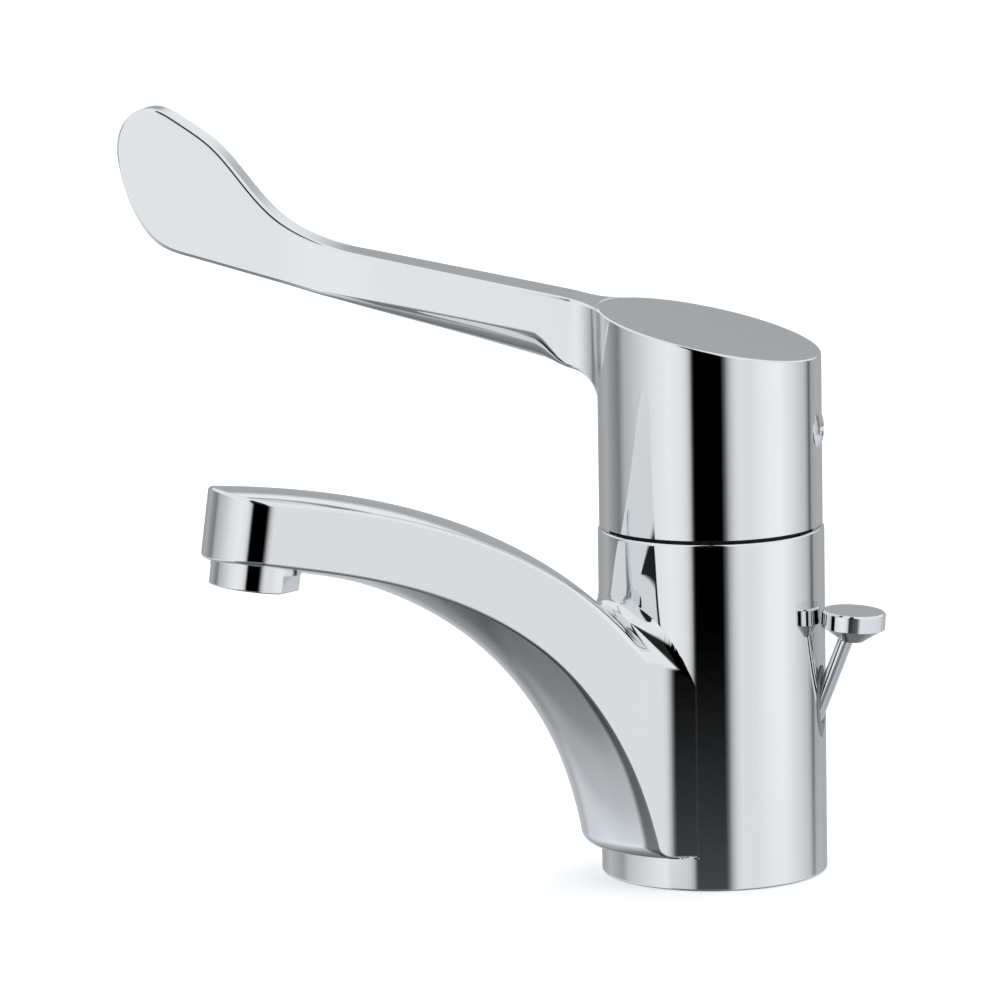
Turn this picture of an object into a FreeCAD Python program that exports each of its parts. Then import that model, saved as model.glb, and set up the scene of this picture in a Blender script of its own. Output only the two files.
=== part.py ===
"""Single-lever basin mixer tap with a long flat care lever and a pull rod for the waste.

Millimetres, +Z up. The origin is the centre of the base on the deck and the spout
points along -Y. The lever and the cartridge that it works share one upright plane, which
is turned about +Z from the plane of the spout. The pull rod has a plane of its own.
"""
import FreeCAD, Part
import math
import os

V = FreeCAD.Vector
UP = V(0, 0, 1)
ORIGIN = V(0, 0, 0)

# Upright column of the body
BODY_RADIUS = 25.0
BODY_TOP = 77.3
BODY_TOP_ROUND = 0.8
BODY_FOOT_ROUND = 0.5

# Heights of the cartridge in its chamber, which opens in the top of the body
CHAMBER_DEPTH = 35.3
SHOULDER_RISE = 24.0
NECK_RISE = 11.5
PIVOT_DROP = 0.5
CARRIER_RISE = 15.8
CARRIER_PLAY = 0.2
RIB_RISE = 11.5
CHAMBER_FLOOR = BODY_TOP - CHAMBER_DEPTH
SHELL_SHOULDER = CHAMBER_FLOOR + SHOULDER_RISE
SHELL_NECK_TOP = SHELL_SHOULDER + NECK_RISE
PIVOT_HEIGHT = SHELL_SHOULDER - PIVOT_DROP
CARRIER_TOP = CHAMBER_FLOOR + CARRIER_RISE
ROTOR_FLANGE_BOTTOM = CARRIER_TOP + CARRIER_PLAY
ROTOR_RIB_BOTTOM = CHAMBER_FLOOR + RIB_RISE

# Where the lever's plane stands at rest, and how far the lever goes
LEVER_TURN = -40.0
LEVER_LIFT = 22.0

# Tilting cap of the lever
CAP_RADIUS = 24.65
CAP_GAP = 0.9
CAP_HEIGHT = 42.7
CAP_TOP_AT_AXIS = BODY_TOP + CAP_GAP + CAP_HEIGHT
CAP_TOP_SLOPE = 0.2231
CAP_WALL = 3.3
CAP_ROOF = 9.0
CAP_EDGE_ROUND = 0.5

# Flat lever arm: its side view (y, height over the cap's top at the axis), drawn with the
# lever along -Y, and its half width seen from above (half width, y)
ARM_EDGE_ROUND = 1.0
ARM_TOP_ROOT = (-24.2, 5.85)
ARM_TOP_KNEE = (-80.0, 15.6)
ARM_TOP_CURVE = [(-89.0, 18.1), (-97.1, 22.4), (-105.4, 30.9), (-112.6, 38.9), (-119.7, 44.6)]
PADDLE_CREST = (-127.1, 46.8)
PADDLE_NOSE = [(-132.2, 44.5), (-134.6, 39.1), (-133.7, 30.7), (-130.2, 21.8), (-124.9, 15.9)]
ARM_UNDER_KNEE = (-117.0, 13.25)
ARM_UNDER_ROOT = (-31.0, -8.5)
ARM_ROOT_FILLET = [(-27.0, -10.6), (-24.2, -15.6)]
ARM_SEAT_DEPTH = 5.0
ARM_HALF_AT_CAP = 6.0
ARM_SIDE = [(5.95, -41.0), (5.7, -50.0), (5.4, -62.0), (5.0, -76.0), (4.1, -86.0), (3.45, -93.0)]
PADDLE_HALF = 3.3
PADDLE_START = -98.0
PADDLE_REACH = -145.0
ARM_FLARE_RADIUS = 8.5

# Spout: half width of its upright sides, and the poles (y, z) of the two curves that
# are the upper and the lower edge of a side, from the nose to the foot
SPOUT_HALF_WIDTH_AT_BODY = 17.8
SPOUT_BODY_STATION = -17.5
SPOUT_TAPER = 0.0617
SPOUT_SIDE_ALLOWANCE = 2.5
SPOUT_FOOT_HEIGHT = 7.3
SPOUT_FOOT_ROUND = 3.0
SPOUT_UPPER_EDGE = [(-126.0, BODY_TOP + 17.8), (-26.1, BODY_TOP + 10.1), (-13.2, 40.2),
                    (-4.0, SPOUT_FOOT_HEIGHT)]
SPOUT_LOWER_EDGE = [(-127.0, BODY_TOP + 7.5), (-109.0, BODY_TOP - 2.5), (-36.3, BODY_TOP + 4.9),
                    (-21.5, SPOUT_FOOT_HEIGHT)]
SPOUT_UPPER_PACE = 1.85
SPOUT_SECTIONS = 13
SPOUT_LOFT_DEGREE = 3
SPOUT_CROWN_RADIUS = 48.0
BELLY_AT_NOSE = 1.8
BELLY_AT_FOOT = 8.15
BELLY_GROWS_FROM = 0.34
BELLY_GROWS_TO = 0.84
NOSE_REACH = 108.75
NOSE_RISE = 1.2
NOSE_CENTRE = V(0, -NOSE_REACH, BODY_TOP + NOSE_RISE)
NOSE_TILT = 8.1

# Aerator in the nose
AERATOR_RADIUS = 9.9
AERATOR_DROP = 3.9
AERATOR_BOTTOM = BODY_TOP - AERATOR_DROP
AERATOR_LENGTH = 11.0
AERATOR_SEAT_RADIUS = 8.6
AERATOR_WALL = 1.5
AERATOR_THREAD_CLEARANCE = 0.05
AERATOR_FLAT_HEIGHT = 4.0
AERATOR_FLAT_ACROSS = 17.0
AERATOR_FLAT_TURN = 45.0
AERATOR_SCREEN_THICKNESS = 0.8
AERATOR_SCREEN_RECESS = 0.8
AERATOR_SCREEN_RINGS = 3
AERATOR_SCREEN_HOLE_ACROSS = 1.4
AERATOR_INSERT_HOLE_RADIUS = 0.75
AERATOR_INSERT_HOLE_SHARE = 0.55
AERATOR_WASHER_THICKNESS = 1.5
AERATOR_LIP_ROUND = 0.4
AERATOR_WAY_LENGTH = 2.6

# Water ways
INLET_PLACE = (8.5, -4.0)
INLET_THREAD_RADIUS = 4.5
INLET_THREAD_DEPTH = 12.0
INLET_WAY_RADIUS = 3.5
STUD_PLACE = (0.0, -14.5)
STUD_THREAD_RADIUS = 3.375
STUD_THREAD_DEPTH = 15.0
SPOUT_WAY_RADIUS = 4.5
SPOUT_WAY_START = V(0, -12.0, CHAMBER_FLOOR + 6.0)
SPOUT_WAY_END = V(0, 4.75 - NOSE_REACH, BODY_TOP + 8.7)

# Base seal in its groove
SEAL_OUTER_RADIUS = 23.4
SEAL_WIDTH = 2.6
SEAL_INNER_RADIUS = SEAL_OUTER_RADIUS - SEAL_WIDTH
SEAL_DEPTH = 2.0

# Cartridge, 35 mm pattern, standing in a chamber of the body
CARTRIDGE_RADIUS = 17.5
CHAMBER_CLEARANCE = 0.1
CARTRIDGE_BASE_THICKNESS = 3.6
SHELL_WALL = 2.4
SHELL_SHOULDER_THICKNESS = 3.4
NECK_RADIUS = 13.5
ROTOR_RADIUS = 11.3
RUNNING_CLEARANCE = 0.05
DISC_RADIUS = 14.4
DISC_THICKNESS = 3.6
DISC_FILM = 0.02
MOVING_DISC_RADIUS = 10.3
MOVING_DISC_THICKNESS = 3.0
CHANNEL_REACH = 3.5
CARRIER_HALF_WIDTH = 9.9
CARRIER_RADIUS = 10.9
CARRIER_CLEARANCE = 0.15
CARRIER_POCKET_FLOOR = 0.2
ROTOR_RIB_THICKNESS = 2.6
ROTOR_RIB_HALF_LENGTH = 6.0
PORT_RADIUS = 3.0
PORT_SEAL_WIDTH = 1.1
PORT_SEAL_HEIGHT = 1.0

# Stem of the cartridge and its pin
STEM_WIDTH = 7.0
STEM_TOP = CAP_TOP_AT_AXIS - 15.9
STEM_SLOT_CLEARANCE = 0.1
STEM_TAIL_WIDTH = 3.6
STEM_BALL_RADIUS = 2.8
STEM_BALL_STAND = 0.48
STEM_POCKET_CLEARANCE = 0.12
PIN_RADIUS = 2.0
PIN_HALF_LENGTH = 10.6

# Nut, stop ring and glide ring round the cartridge
NUT_THREAD_RADIUS = 18.8
NUT_THREAD_CLEARANCE = 0.05
NUT_THREAD_HEIGHT = 4.5
NUT_HEX_ACROSS = 30.0
NUT_HEIGHT = 7.5
STOP_RING_OUTER = 16.5
STOP_RING_GAP = 0.05
STOP_NOTCH_RADIUS = 1.0
STOP_NOTCH_PITCH = 30
GLIDE_RING_OUTER = 22.4
GLIDE_RING_INNER = 18.6
GLIDE_RING_SEAT_DEPTH = 3.2
GLIDE_RING_STAND = 1.6

# Fixing of the lever on the stem
BOSS_RADIUS = 8.6
BOSS_BOTTOM = CAP_TOP_AT_AXIS - 33.4
ADAPTER_WALL = 1.6
SCREW_HEIGHT = CAP_TOP_AT_AXIS - 21.6
SCREW_HEAD_RADIUS = 4.3
SCREW_RIM_INSET = 0.1
SCREW_CROWN_STAND = 0.9
SCREW_CROWN_SHARE = 0.75
SCREW_SHANK_RADIUS = 2.0
SCREW_RECESS_WIDTH = 0.9
SCREW_RECESS_LENGTH = 4.4
SCREW_RECESS_DEPTH = 1.3
BUTTON_HEIGHT = CAP_TOP_AT_AXIS - 19.9
BUTTON_RADIUS = 1.8
BUTTON_STAND = 0.4
BUTTON_STEM_LENGTH = 2.4

# Pull rod for the waste, in an upright plane behind the body
ROD_TURN = -43.0
ROD_RADIUS = 1.7
ROD_LEAN = 21.7
ROD_EXIT_HEIGHT = 38.6
ROD_BOTTOM = 1.6
BUSH_RADIUS = 2.95
BUSH_LENGTH = 14.0
BUSH_INSET = 3.5
KNOB_RADIUS = 7.05
KNOB_STAND_OFF = 7.6
KNOB_AXIS_RADIUS = BODY_RADIUS + KNOB_STAND_OFF
KNOB_RISE = 20.8
KNOB_TOP = ROD_EXIT_HEIGHT + KNOB_RISE
KNOB_LEAN = 4.0
KNOB_DISC_THICKNESS = 3.9
KNOB_BEVEL = 0.4
KNOB_CONE_HEIGHT = 2.9
KNOB_CONE_SHARE = 0.93
KNOB_CONE_BOTTOM = KNOB_TOP - KNOB_DISC_THICKNESS - KNOB_CONE_HEIGHT
KNOB_CONE_END_RADIUS = 2.4
ROD_SEAT_IN_KNOB = 3.0

# How far a cutting shape reaches past the face that it opens
CUT_PAST = 1.0


def cylinder(radius, bottom, top, x=0.0, y=0.0):
    """Upright cylinder between two heights."""
    return Part.makeCylinder(radius, top - bottom, V(x, y, bottom), UP)


def ring(outer, inner, bottom, top, x=0.0, y=0.0):
    """Upright ring between two heights."""
    return cylinder(outer, bottom, top, x, y).cut(cylinder(inner, bottom, top, x, y))


def block(x0, x1, y0, y1, z0, z1):
    """Box between two corners."""
    return Part.makeBox(x1 - x0, y1 - y0, z1 - z0, V(x0, y0, z0))


def hexagon(across, bottom, top):
    """Upright hexagonal prism."""
    radius = across / math.sqrt(3)
    corners = [V(radius * math.cos(math.radians(60 * i)), radius * math.sin(math.radians(60 * i)), bottom)
               for i in range(6)]
    face = Part.Face(Part.makePolygon(corners + corners[:1]))
    return face.extrude(UP * (top - bottom))


def revolved(points):
    """Solid of revolution about the Z axis of a closed (radius, height) outline."""
    corners = [V(r, 0, z) for r, z in points]
    face = Part.Face(Part.makePolygon(corners + corners[:1]))
    return face.revolve(ORIGIN, UP, 360)


def one_solid(shape):
    """The shape as a clean single solid."""
    clean = shape.removeSplitter()
    return clean.Solids[0] if len(clean.Solids) == 1 else clean


def to_lever_plane(shape):
    """Turn a shape drawn with the lever along -Y to where the lever stands at rest."""
    turned = shape.copy()
    turned.rotate(ORIGIN, UP, LEVER_TURN)
    return turned


def to_rod_plane(shape):
    """Turn a shape drawn with the rod leaning along +Y to where the rod stands."""
    turned = shape.copy()
    turned.rotate(ORIGIN, UP, ROD_TURN)
    return turned


def lean_outwards(shape, pivot):
    """Lean an upright shape behind the body outwards about a point, by the rod's lean."""
    leaned = shape.copy()
    leaned.rotate(pivot, V(1, 0, 0), -ROD_LEAN)
    return leaned


def lean_with_nose(shape):
    """Lean an upright shape on the nose's centre so that its foot points outwards."""
    leaned = shape.copy()
    leaned.translate(V(NOSE_CENTRE.x, NOSE_CENTRE.y, 0))
    leaned.rotate(NOSE_CENTRE, V(1, 0, 0), -NOSE_TILT)
    return leaned


def sweep_radius():
    """Radius of the sphere about the pivot on which the cap's lower rim travels."""
    return math.hypot(CAP_RADIUS, BODY_TOP + CAP_GAP - PIVOT_HEIGHT)


def spout_half_width(y):
    """Half width between the tapering upright sides of the spout."""
    return SPOUT_HALF_WIDTH_AT_BODY + SPOUT_TAPER * (y - SPOUT_BODY_STATION)


def bulge(radius, half_width, x):
    """Height of an arc over its chord at a distance x from the middle."""
    return math.sqrt(radius ** 2 - x ** 2) - math.sqrt(radius ** 2 - half_width ** 2)


def on_curve(poles, share):
    """Point (y, z) at a share of the way along a cubic curve with four poles."""
    rest = 1.0 - share
    weights = (rest ** 3, 3 * rest ** 2 * share, 3 * rest * share ** 2, share ** 3)
    return tuple(sum(w * pole[k] for w, pole in zip(weights, poles)) for k in (0, 1))


def belly_bulge(share):
    """How far the belly bulges below the lower edge, growing smoothly to the foot."""
    way = (share - BELLY_GROWS_FROM) / (BELLY_GROWS_TO - BELLY_GROWS_FROM)
    way = min(max(way, 0.0), 1.0)
    return BELLY_AT_NOSE + (BELLY_AT_FOOT - BELLY_AT_NOSE) * way ** 2 * (3 - 2 * way)


def spout_section(share):
    """Closed section at a share of the way from nose to foot: flat sides, crowned top, bulging belly."""
    upper = on_curve(SPOUT_UPPER_EDGE, share ** SPOUT_UPPER_PACE)
    lower = on_curve(SPOUT_LOWER_EDGE, share)
    belly = belly_bulge(share)
    across = V(0, upper[0] - lower[0], upper[1] - lower[1]).normalize()
    upper_half = spout_half_width(upper[0])
    lower_half = spout_half_width(lower[0])
    belly_radius = (lower_half ** 2 + belly ** 2) / (2 * belly)
    half = max(upper_half, lower_half) + SPOUT_SIDE_ALLOWANCE

    def top(x):
        return V(x, upper[0], upper[1]) + across * bulge(SPOUT_CROWN_RADIUS, upper_half, x)

    def bottom(x):
        return V(x, lower[0], lower[1]) - across * bulge(belly_radius, lower_half, x)

    edges = [Part.Arc(top(-half), top(0), top(half)).toShape(),
             Part.LineSegment(top(half), bottom(half)).toShape(),
             Part.Arc(bottom(half), bottom(0), bottom(-half)).toShape(),
             Part.LineSegment(bottom(-half), top(-half)).toShape()]
    return Part.Wire(edges)


def spout_plan():
    """Prism with the spout's outline seen from above, leaning with the nose."""
    base_z = 0.0
    top_z = CAP_TOP_AT_AXIS
    lean = V(0, math.tan(math.radians(NOSE_TILT)), 1.0)
    start_y = NOSE_CENTRE.y - lean.y * (NOSE_CENTRE.z - base_z)
    taper = math.atan(SPOUT_TAPER)
    nose_radius = spout_half_width(NOSE_CENTRE.y) * math.cos(taper)
    touch_x = nose_radius * math.cos(taper)
    touch_y = start_y - nose_radius * math.sin(taper)
    back_half = touch_x + SPOUT_TAPER * (BODY_RADIUS - touch_y)
    right_back = V(back_half, BODY_RADIUS, base_z)
    left_back = V(-back_half, BODY_RADIUS, base_z)
    right_touch = V(touch_x, touch_y, base_z)
    left_touch = V(-touch_x, touch_y, base_z)
    tip = V(0, start_y - nose_radius, base_z)
    edges = [Part.LineSegment(right_back, right_touch).toShape(),
             Part.Arc(right_touch, tip, left_touch).toShape(),
             Part.LineSegment(left_touch, left_back).toShape(),
             Part.LineSegment(left_back, right_back).toShape()]
    return Part.Face(Part.Wire(edges)).extrude(lean * (top_z - base_z))


def spout():
    """Arched spout: a loft through its sections, trimmed to its plan."""
    sections = [spout_section(i / (SPOUT_SECTIONS - 1)) for i in range(SPOUT_SECTIONS)]
    loft = Part.makeLoft(sections, True, False, False, SPOUT_LOFT_DEGREE)
    trimmed = loft.common(spout_plan()).Solids[0]
    foot_edges = [e for e in trimmed.Edges
                  if abs(e.BoundBox.ZMin - SPOUT_FOOT_HEIGHT) < 0.05
                  and abs(e.BoundBox.ZMax - SPOUT_FOOT_HEIGHT) < 0.05
                  and e.BoundBox.YMin < -BODY_RADIUS]
    return trimmed.makeFillet(SPOUT_FOOT_ROUND, foot_edges)


def rounded_column():
    """Plain column of the body with its rounded upper rim."""
    column = cylinder(BODY_RADIUS, 0, BODY_TOP)
    top_rim = [e for e in column.Edges if e.BoundBox.ZMin > BODY_TOP - 0.01]
    foot_rim = [e for e in column.Edges if e.BoundBox.ZMax < 0.01]
    return column.makeFillet(BODY_TOP_ROUND, top_rim).makeFillet(BODY_FOOT_ROUND, foot_rim)


def rod_pivot():
    """Point where the rod's axis leaves the body, with the rod's plane along Y."""
    return V(0, BODY_RADIUS, ROD_EXIT_HEIGHT)


def along_rod(radius, low, high):
    """Cylinder on the rod's axis between two distances along it from its exit point."""
    pivot = rod_pivot()
    upright = Part.makeCylinder(radius, high - low, pivot + UP * low, UP)
    return to_rod_plane(lean_outwards(upright, pivot))


def rod_length_below():
    """Distance along the rod from its exit point to the underside of the body."""
    return ROD_EXIT_HEIGHT / math.cos(math.radians(ROD_LEAN))


def mixer_body():
    """Cast body: column, spout, cartridge chamber, water ways and threaded holes."""
    body = rounded_column().fuse(spout())
    chamber_radius = CARTRIDGE_RADIUS + CHAMBER_CLEARANCE
    ring_radius = GLIDE_RING_OUTER + NUT_THREAD_CLEARANCE
    cuts = [cylinder(chamber_radius, CHAMBER_FLOOR, SHELL_SHOULDER),
            cylinder(NUT_THREAD_RADIUS, SHELL_SHOULDER, BODY_TOP + CUT_PAST),
            cylinder(ring_radius, BODY_TOP - GLIDE_RING_SEAT_DEPTH, BODY_TOP + CUT_PAST),
            ring(SEAL_OUTER_RADIUS, SEAL_INNER_RADIUS, 0, SEAL_DEPTH),
            cylinder(STUD_THREAD_RADIUS, 0, STUD_THREAD_DEPTH, *STUD_PLACE)]
    for side in (-1, 1):
        x = side * INLET_PLACE[0]
        cuts.append(cylinder(INLET_THREAD_RADIUS, 0, INLET_THREAD_DEPTH, x, INLET_PLACE[1]))
        cuts.append(cylinder(INLET_WAY_RADIUS, INLET_THREAD_DEPTH, CHAMBER_FLOOR, x, INLET_PLACE[1]))
    way = SPOUT_WAY_END - SPOUT_WAY_START
    cuts.append(Part.makeCylinder(SPOUT_WAY_RADIUS, way.Length, SPOUT_WAY_START, way))
    cuts.append(Part.makeSphere(SPOUT_WAY_RADIUS, SPOUT_WAY_END))
    aerator_top = AERATOR_BOTTOM + AERATOR_LENGTH
    cuts.append(lean_with_nose(cylinder(AERATOR_RADIUS, AERATOR_BOTTOM - AERATOR_RADIUS, aerator_top)))
    cuts.append(lean_with_nose(cylinder(SPOUT_WAY_RADIUS, aerator_top, aerator_top + AERATOR_WAY_LENGTH)))
    reach = rod_length_below()
    cuts.append(along_rod(BUSH_RADIUS, BUSH_INSET - BUSH_LENGTH, 2 * BUSH_LENGTH))
    cuts.append(along_rod(ROD_RADIUS + 2 * RUNNING_CLEARANCE, -reach - BUSH_LENGTH, BUSH_INSET))
    for cut in cuts:
        body = body.cut(cut)
    return one_solid(body)


def base_seal():
    """Flat rubber ring flush in the groove of the base."""
    return ring(SEAL_OUTER_RADIUS, SEAL_INNER_RADIUS, 0, SEAL_DEPTH)


def aerator_housing():
    """Screwed sleeve with two wrench flats at its lower end."""
    outer = AERATOR_RADIUS - AERATOR_THREAD_CLEARANCE
    top = AERATOR_BOTTOM + AERATOR_LENGTH - AERATOR_WASHER_THICKNESS
    sleeve = cylinder(outer, AERATOR_BOTTOM, top)
    rims = [e for e in sleeve.Edges if e.BoundBox.ZMax < AERATOR_BOTTOM + 0.01]
    sleeve = sleeve.makeFillet(AERATOR_LIP_ROUND, rims)
    below = AERATOR_BOTTOM - CUT_PAST
    sleeve = sleeve.cut(cylinder(AERATOR_SEAT_RADIUS - AERATOR_WALL / 2, below, top + CUT_PAST))
    half = AERATOR_FLAT_ACROSS / 2
    flats = block(half, 2 * outer, -outer, outer, below, AERATOR_BOTTOM + AERATOR_FLAT_HEIGHT)
    for turn in (AERATOR_FLAT_TURN, AERATOR_FLAT_TURN + 180):
        cut = flats.copy()
        cut.rotate(ORIGIN, UP, turn)
        sleeve = sleeve.cut(cut)
    return one_solid(lean_with_nose(sleeve))


def aerator_insert():
    """Plastic jet former inside the sleeve, above the screen."""
    outer = AERATOR_SEAT_RADIUS - AERATOR_WALL / 2
    bottom = AERATOR_BOTTOM + AERATOR_SCREEN_RECESS + AERATOR_SCREEN_THICKNESS
    top = AERATOR_BOTTOM + AERATOR_LENGTH - AERATOR_WASHER_THICKNESS
    insert = ring(outer, outer - AERATOR_WALL, bottom, top)
    deck = cylinder(outer, top - 2 * AERATOR_WALL, top - AERATOR_WALL)
    for turn in range(0, 360, 45):
        angle = math.radians(turn)
        reach = outer * AERATOR_INSERT_HOLE_SHARE
        deck = deck.cut(cylinder(AERATOR_INSERT_HOLE_RADIUS, 0, top + CUT_PAST,
                                 reach * math.cos(angle), reach * math.sin(angle)))
    return one_solid(lean_with_nose(insert.fuse(deck)))


def aerator_screen():
    """Round outlet screen with rings of six-sided holes."""
    outer = AERATOR_SEAT_RADIUS - AERATOR_WALL / 2
    bottom = AERATOR_BOTTOM + AERATOR_SCREEN_RECESS
    top = bottom + AERATOR_SCREEN_THICKNESS
    screen = cylinder(outer, bottom, top)
    first = hexagon(AERATOR_SCREEN_HOLE_ACROSS, bottom - CUT_PAST, top + CUT_PAST)
    pitch = (outer - AERATOR_SCREEN_HOLE_ACROSS) / AERATOR_SCREEN_RINGS
    holes = [first]
    for i in range(1, AERATOR_SCREEN_RINGS + 1):
        for k in range(6 * i):
            angle = 2 * math.pi * k / (6 * i)
            hole = first.copy()
            hole.translate(V(pitch * i * math.cos(angle), pitch * i * math.sin(angle), 0))
            holes.append(hole)
    return one_solid(lean_with_nose(screen.cut(Part.makeCompound(holes))))


def aerator_washer():
    """Rubber washer between the sleeve and its seat in the nose."""
    top = AERATOR_BOTTOM + AERATOR_LENGTH
    outer = AERATOR_RADIUS - AERATOR_THREAD_CLEARANCE
    return lean_with_nose(ring(outer, outer - 2 * AERATOR_WALL, top - AERATOR_WASHER_THICKNESS, top))


def cartridge_ports(bottom, top):
    """Two inlet ports over the body's inlets and one outlet port towards the spout."""
    ports = [cylinder(PORT_RADIUS, bottom, top, side * INLET_PLACE[0], INLET_PLACE[1]) for side in (-1, 1)]
    ports.append(cylinder(PORT_RADIUS, bottom, top, 0, -INLET_PLACE[1] + PORT_RADIUS))
    return ports


def cartridge_base():
    """Plastic base of the cartridge, with grooves for its port seals."""
    bottom = CHAMBER_FLOOR
    top = bottom + CARTRIDGE_BASE_THICKNESS
    base = cylinder(CARTRIDGE_RADIUS, bottom, top)
    for port in cartridge_ports(bottom - CUT_PAST, top + CUT_PAST):
        base = base.cut(port)
    for groove in port_rings():
        base = base.cut(groove)
    return one_solid(base)


def port_rings():
    """Rings round the three ports at the underside of the cartridge."""
    inner = PORT_RADIUS
    outer = PORT_RADIUS + PORT_SEAL_WIDTH
    top = CHAMBER_FLOOR + PORT_SEAL_HEIGHT
    places = [(-INLET_PLACE[0], INLET_PLACE[1]), (INLET_PLACE[0], INLET_PLACE[1]),
              (0, -INLET_PLACE[1] + PORT_RADIUS)]
    return [ring(outer, inner, CHAMBER_FLOOR, top, x, y) for x, y in places]


def cartridge_seals():
    """Three rubber port seals as one group."""
    return Part.makeCompound(port_rings())


def disc_top():
    """Height of the moving disc's upper face, on which the carrier stands."""
    return CHAMBER_FLOOR + CARTRIDGE_BASE_THICKNESS + DISC_THICKNESS + DISC_FILM + MOVING_DISC_THICKNESS


def fixed_ceramic_disc():
    """Fixed disc, lying on the base and held against turning by the shell."""
    bottom = CHAMBER_FLOOR + CARTRIDGE_BASE_THICKNESS
    top = bottom + DISC_THICKNESS
    disc = cylinder(DISC_RADIUS, bottom, top)
    for port in cartridge_ports(bottom - CUT_PAST, top + CUT_PAST):
        disc = disc.cut(port)
    return one_solid(disc)


def cartridge_shell():
    """Plastic shell: skirt round the discs, shoulder under the nut, neck round the rotor."""
    inner = CARTRIDGE_RADIUS - SHELL_WALL
    bottom = CHAMBER_FLOOR + CARTRIDGE_BASE_THICKNESS
    bore = ROTOR_RADIUS + RUNNING_CLEARANCE
    ceiling = SHELL_SHOULDER - SHELL_SHOULDER_THICKNESS
    outline = [(inner, bottom), (CARTRIDGE_RADIUS, bottom), (CARTRIDGE_RADIUS, SHELL_SHOULDER),
               (NECK_RADIUS, SHELL_SHOULDER), (NECK_RADIUS, SHELL_NECK_TOP), (bore, SHELL_NECK_TOP),
               (bore, ceiling), (inner, ceiling)]
    return revolved(outline)


def cartridge_nut():
    """Brass nut: threaded rim that clamps the shoulder, and a hexagon."""
    bottom = SHELL_SHOULDER
    rim = cylinder(NUT_THREAD_RADIUS - NUT_THREAD_CLEARANCE, bottom, bottom + NUT_THREAD_HEIGHT)
    nut = rim.fuse(hexagon(NUT_HEX_ACROSS, bottom + NUT_THREAD_HEIGHT, bottom + NUT_HEIGHT))
    bore = cylinder(NECK_RADIUS + NUT_THREAD_CLEARANCE, bottom - CUT_PAST, bottom + NUT_HEIGHT + CUT_PAST)
    return one_solid(nut.cut(bore))


def temperature_stop_ring():
    """Toothed ring on the neck that limits how far the lever turns to hot."""
    bottom = SHELL_SHOULDER + NUT_HEIGHT
    top = SHELL_NECK_TOP
    stop = ring(STOP_RING_OUTER, NECK_RADIUS + STOP_RING_GAP, bottom, top)
    for turn in range(0, 360, STOP_NOTCH_PITCH):
        notch = cylinder(STOP_NOTCH_RADIUS, bottom - CUT_PAST, top + CUT_PAST, STOP_RING_OUTER, 0)
        notch.rotate(ORIGIN, UP, turn)
        stop = stop.cut(notch)
    return one_solid(stop)


def glide_ring():
    """Plastic ring in the body's mouth that the cap rides over."""
    bottom = BODY_TOP - GLIDE_RING_SEAT_DEPTH
    return ring(GLIDE_RING_OUTER, GLIDE_RING_INNER, bottom, BODY_TOP + GLIDE_RING_STAND)


def rod_guide_bush():
    """Plastic bush in the body's slanting hole, trimmed flush with the column."""
    bush = along_rod(BUSH_RADIUS, BUSH_INSET - BUSH_LENGTH, 2 * BUSH_LENGTH)
    bush = bush.cut(along_rod(ROD_RADIUS + RUNNING_CLEARANCE, -2 * BUSH_LENGTH, 3 * BUSH_LENGTH))
    return one_solid(bush.common(cylinder(BODY_RADIUS, 0, BODY_TOP)))


def stem_slot(bottom, top):
    """Room for the stem to swing in the rotor, drawn with the lever along -Y."""
    half = STEM_WIDTH / 2 + STEM_SLOT_CLEARANCE
    lift = math.radians(LEVER_LIFT)
    rise = SHELL_NECK_TOP - PIVOT_HEIGHT
    drop = PIVOT_HEIGHT - ROTOR_FLANGE_BOTTOM
    back = rise * math.tan(lift) + half / math.cos(lift)
    front = drop * math.tan(lift) + half / math.cos(lift)
    return block(-half, half, -front, back, bottom, top)


def cartridge_rotor():
    """Turning part of the cartridge, with a slot for the stem and two guide ribs."""
    flange_radius = CARTRIDGE_RADIUS - SHELL_WALL - RUNNING_CLEARANCE
    flange_top = SHELL_SHOULDER - SHELL_SHOULDER_THICKNESS - RUNNING_CLEARANCE
    rotor = cylinder(flange_radius, ROTOR_FLANGE_BOTTOM, flange_top)
    rotor = rotor.fuse(cylinder(ROTOR_RADIUS, flange_top, SHELL_NECK_TOP))
    inner = CARRIER_HALF_WIDTH + CARRIER_CLEARANCE
    for side in (-1, 1):
        low = min(side * inner, side * (inner + ROTOR_RIB_THICKNESS))
        rib = block(low, low + ROTOR_RIB_THICKNESS, -ROTOR_RIB_HALF_LENGTH, ROTOR_RIB_HALF_LENGTH,
                    ROTOR_RIB_BOTTOM, ROTOR_FLANGE_BOTTOM)
        rotor = rotor.fuse(rib.common(cylinder(flange_radius, ROTOR_RIB_BOTTOM, ROTOR_FLANGE_BOTTOM)))
    rotor = rotor.cut(stem_slot(ROTOR_FLANGE_BOTTOM - CUT_PAST, SHELL_NECK_TOP + CUT_PAST))
    rotor = rotor.cut(pin_bore(PIN_RADIUS))
    return to_lever_plane(one_solid(rotor))


def pin_bore(radius):
    """Cylinder on the stem's pivot axis, drawn with the lever along -Y."""
    return Part.makeCylinder(radius, 2 * PIN_HALF_LENGTH, V(-PIN_HALF_LENGTH, 0, PIVOT_HEIGHT), V(1, 0, 0))


def stem_pivot_pin():
    """Steel pin through the rotor, on which the stem rocks."""
    return to_lever_plane(pin_bore(PIN_RADIUS))


def stem_bar(width, bottom, top):
    """Square bar on the axis of the stem."""
    half = width / 2
    return block(-half, half, -half, half, bottom, top)


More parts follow.
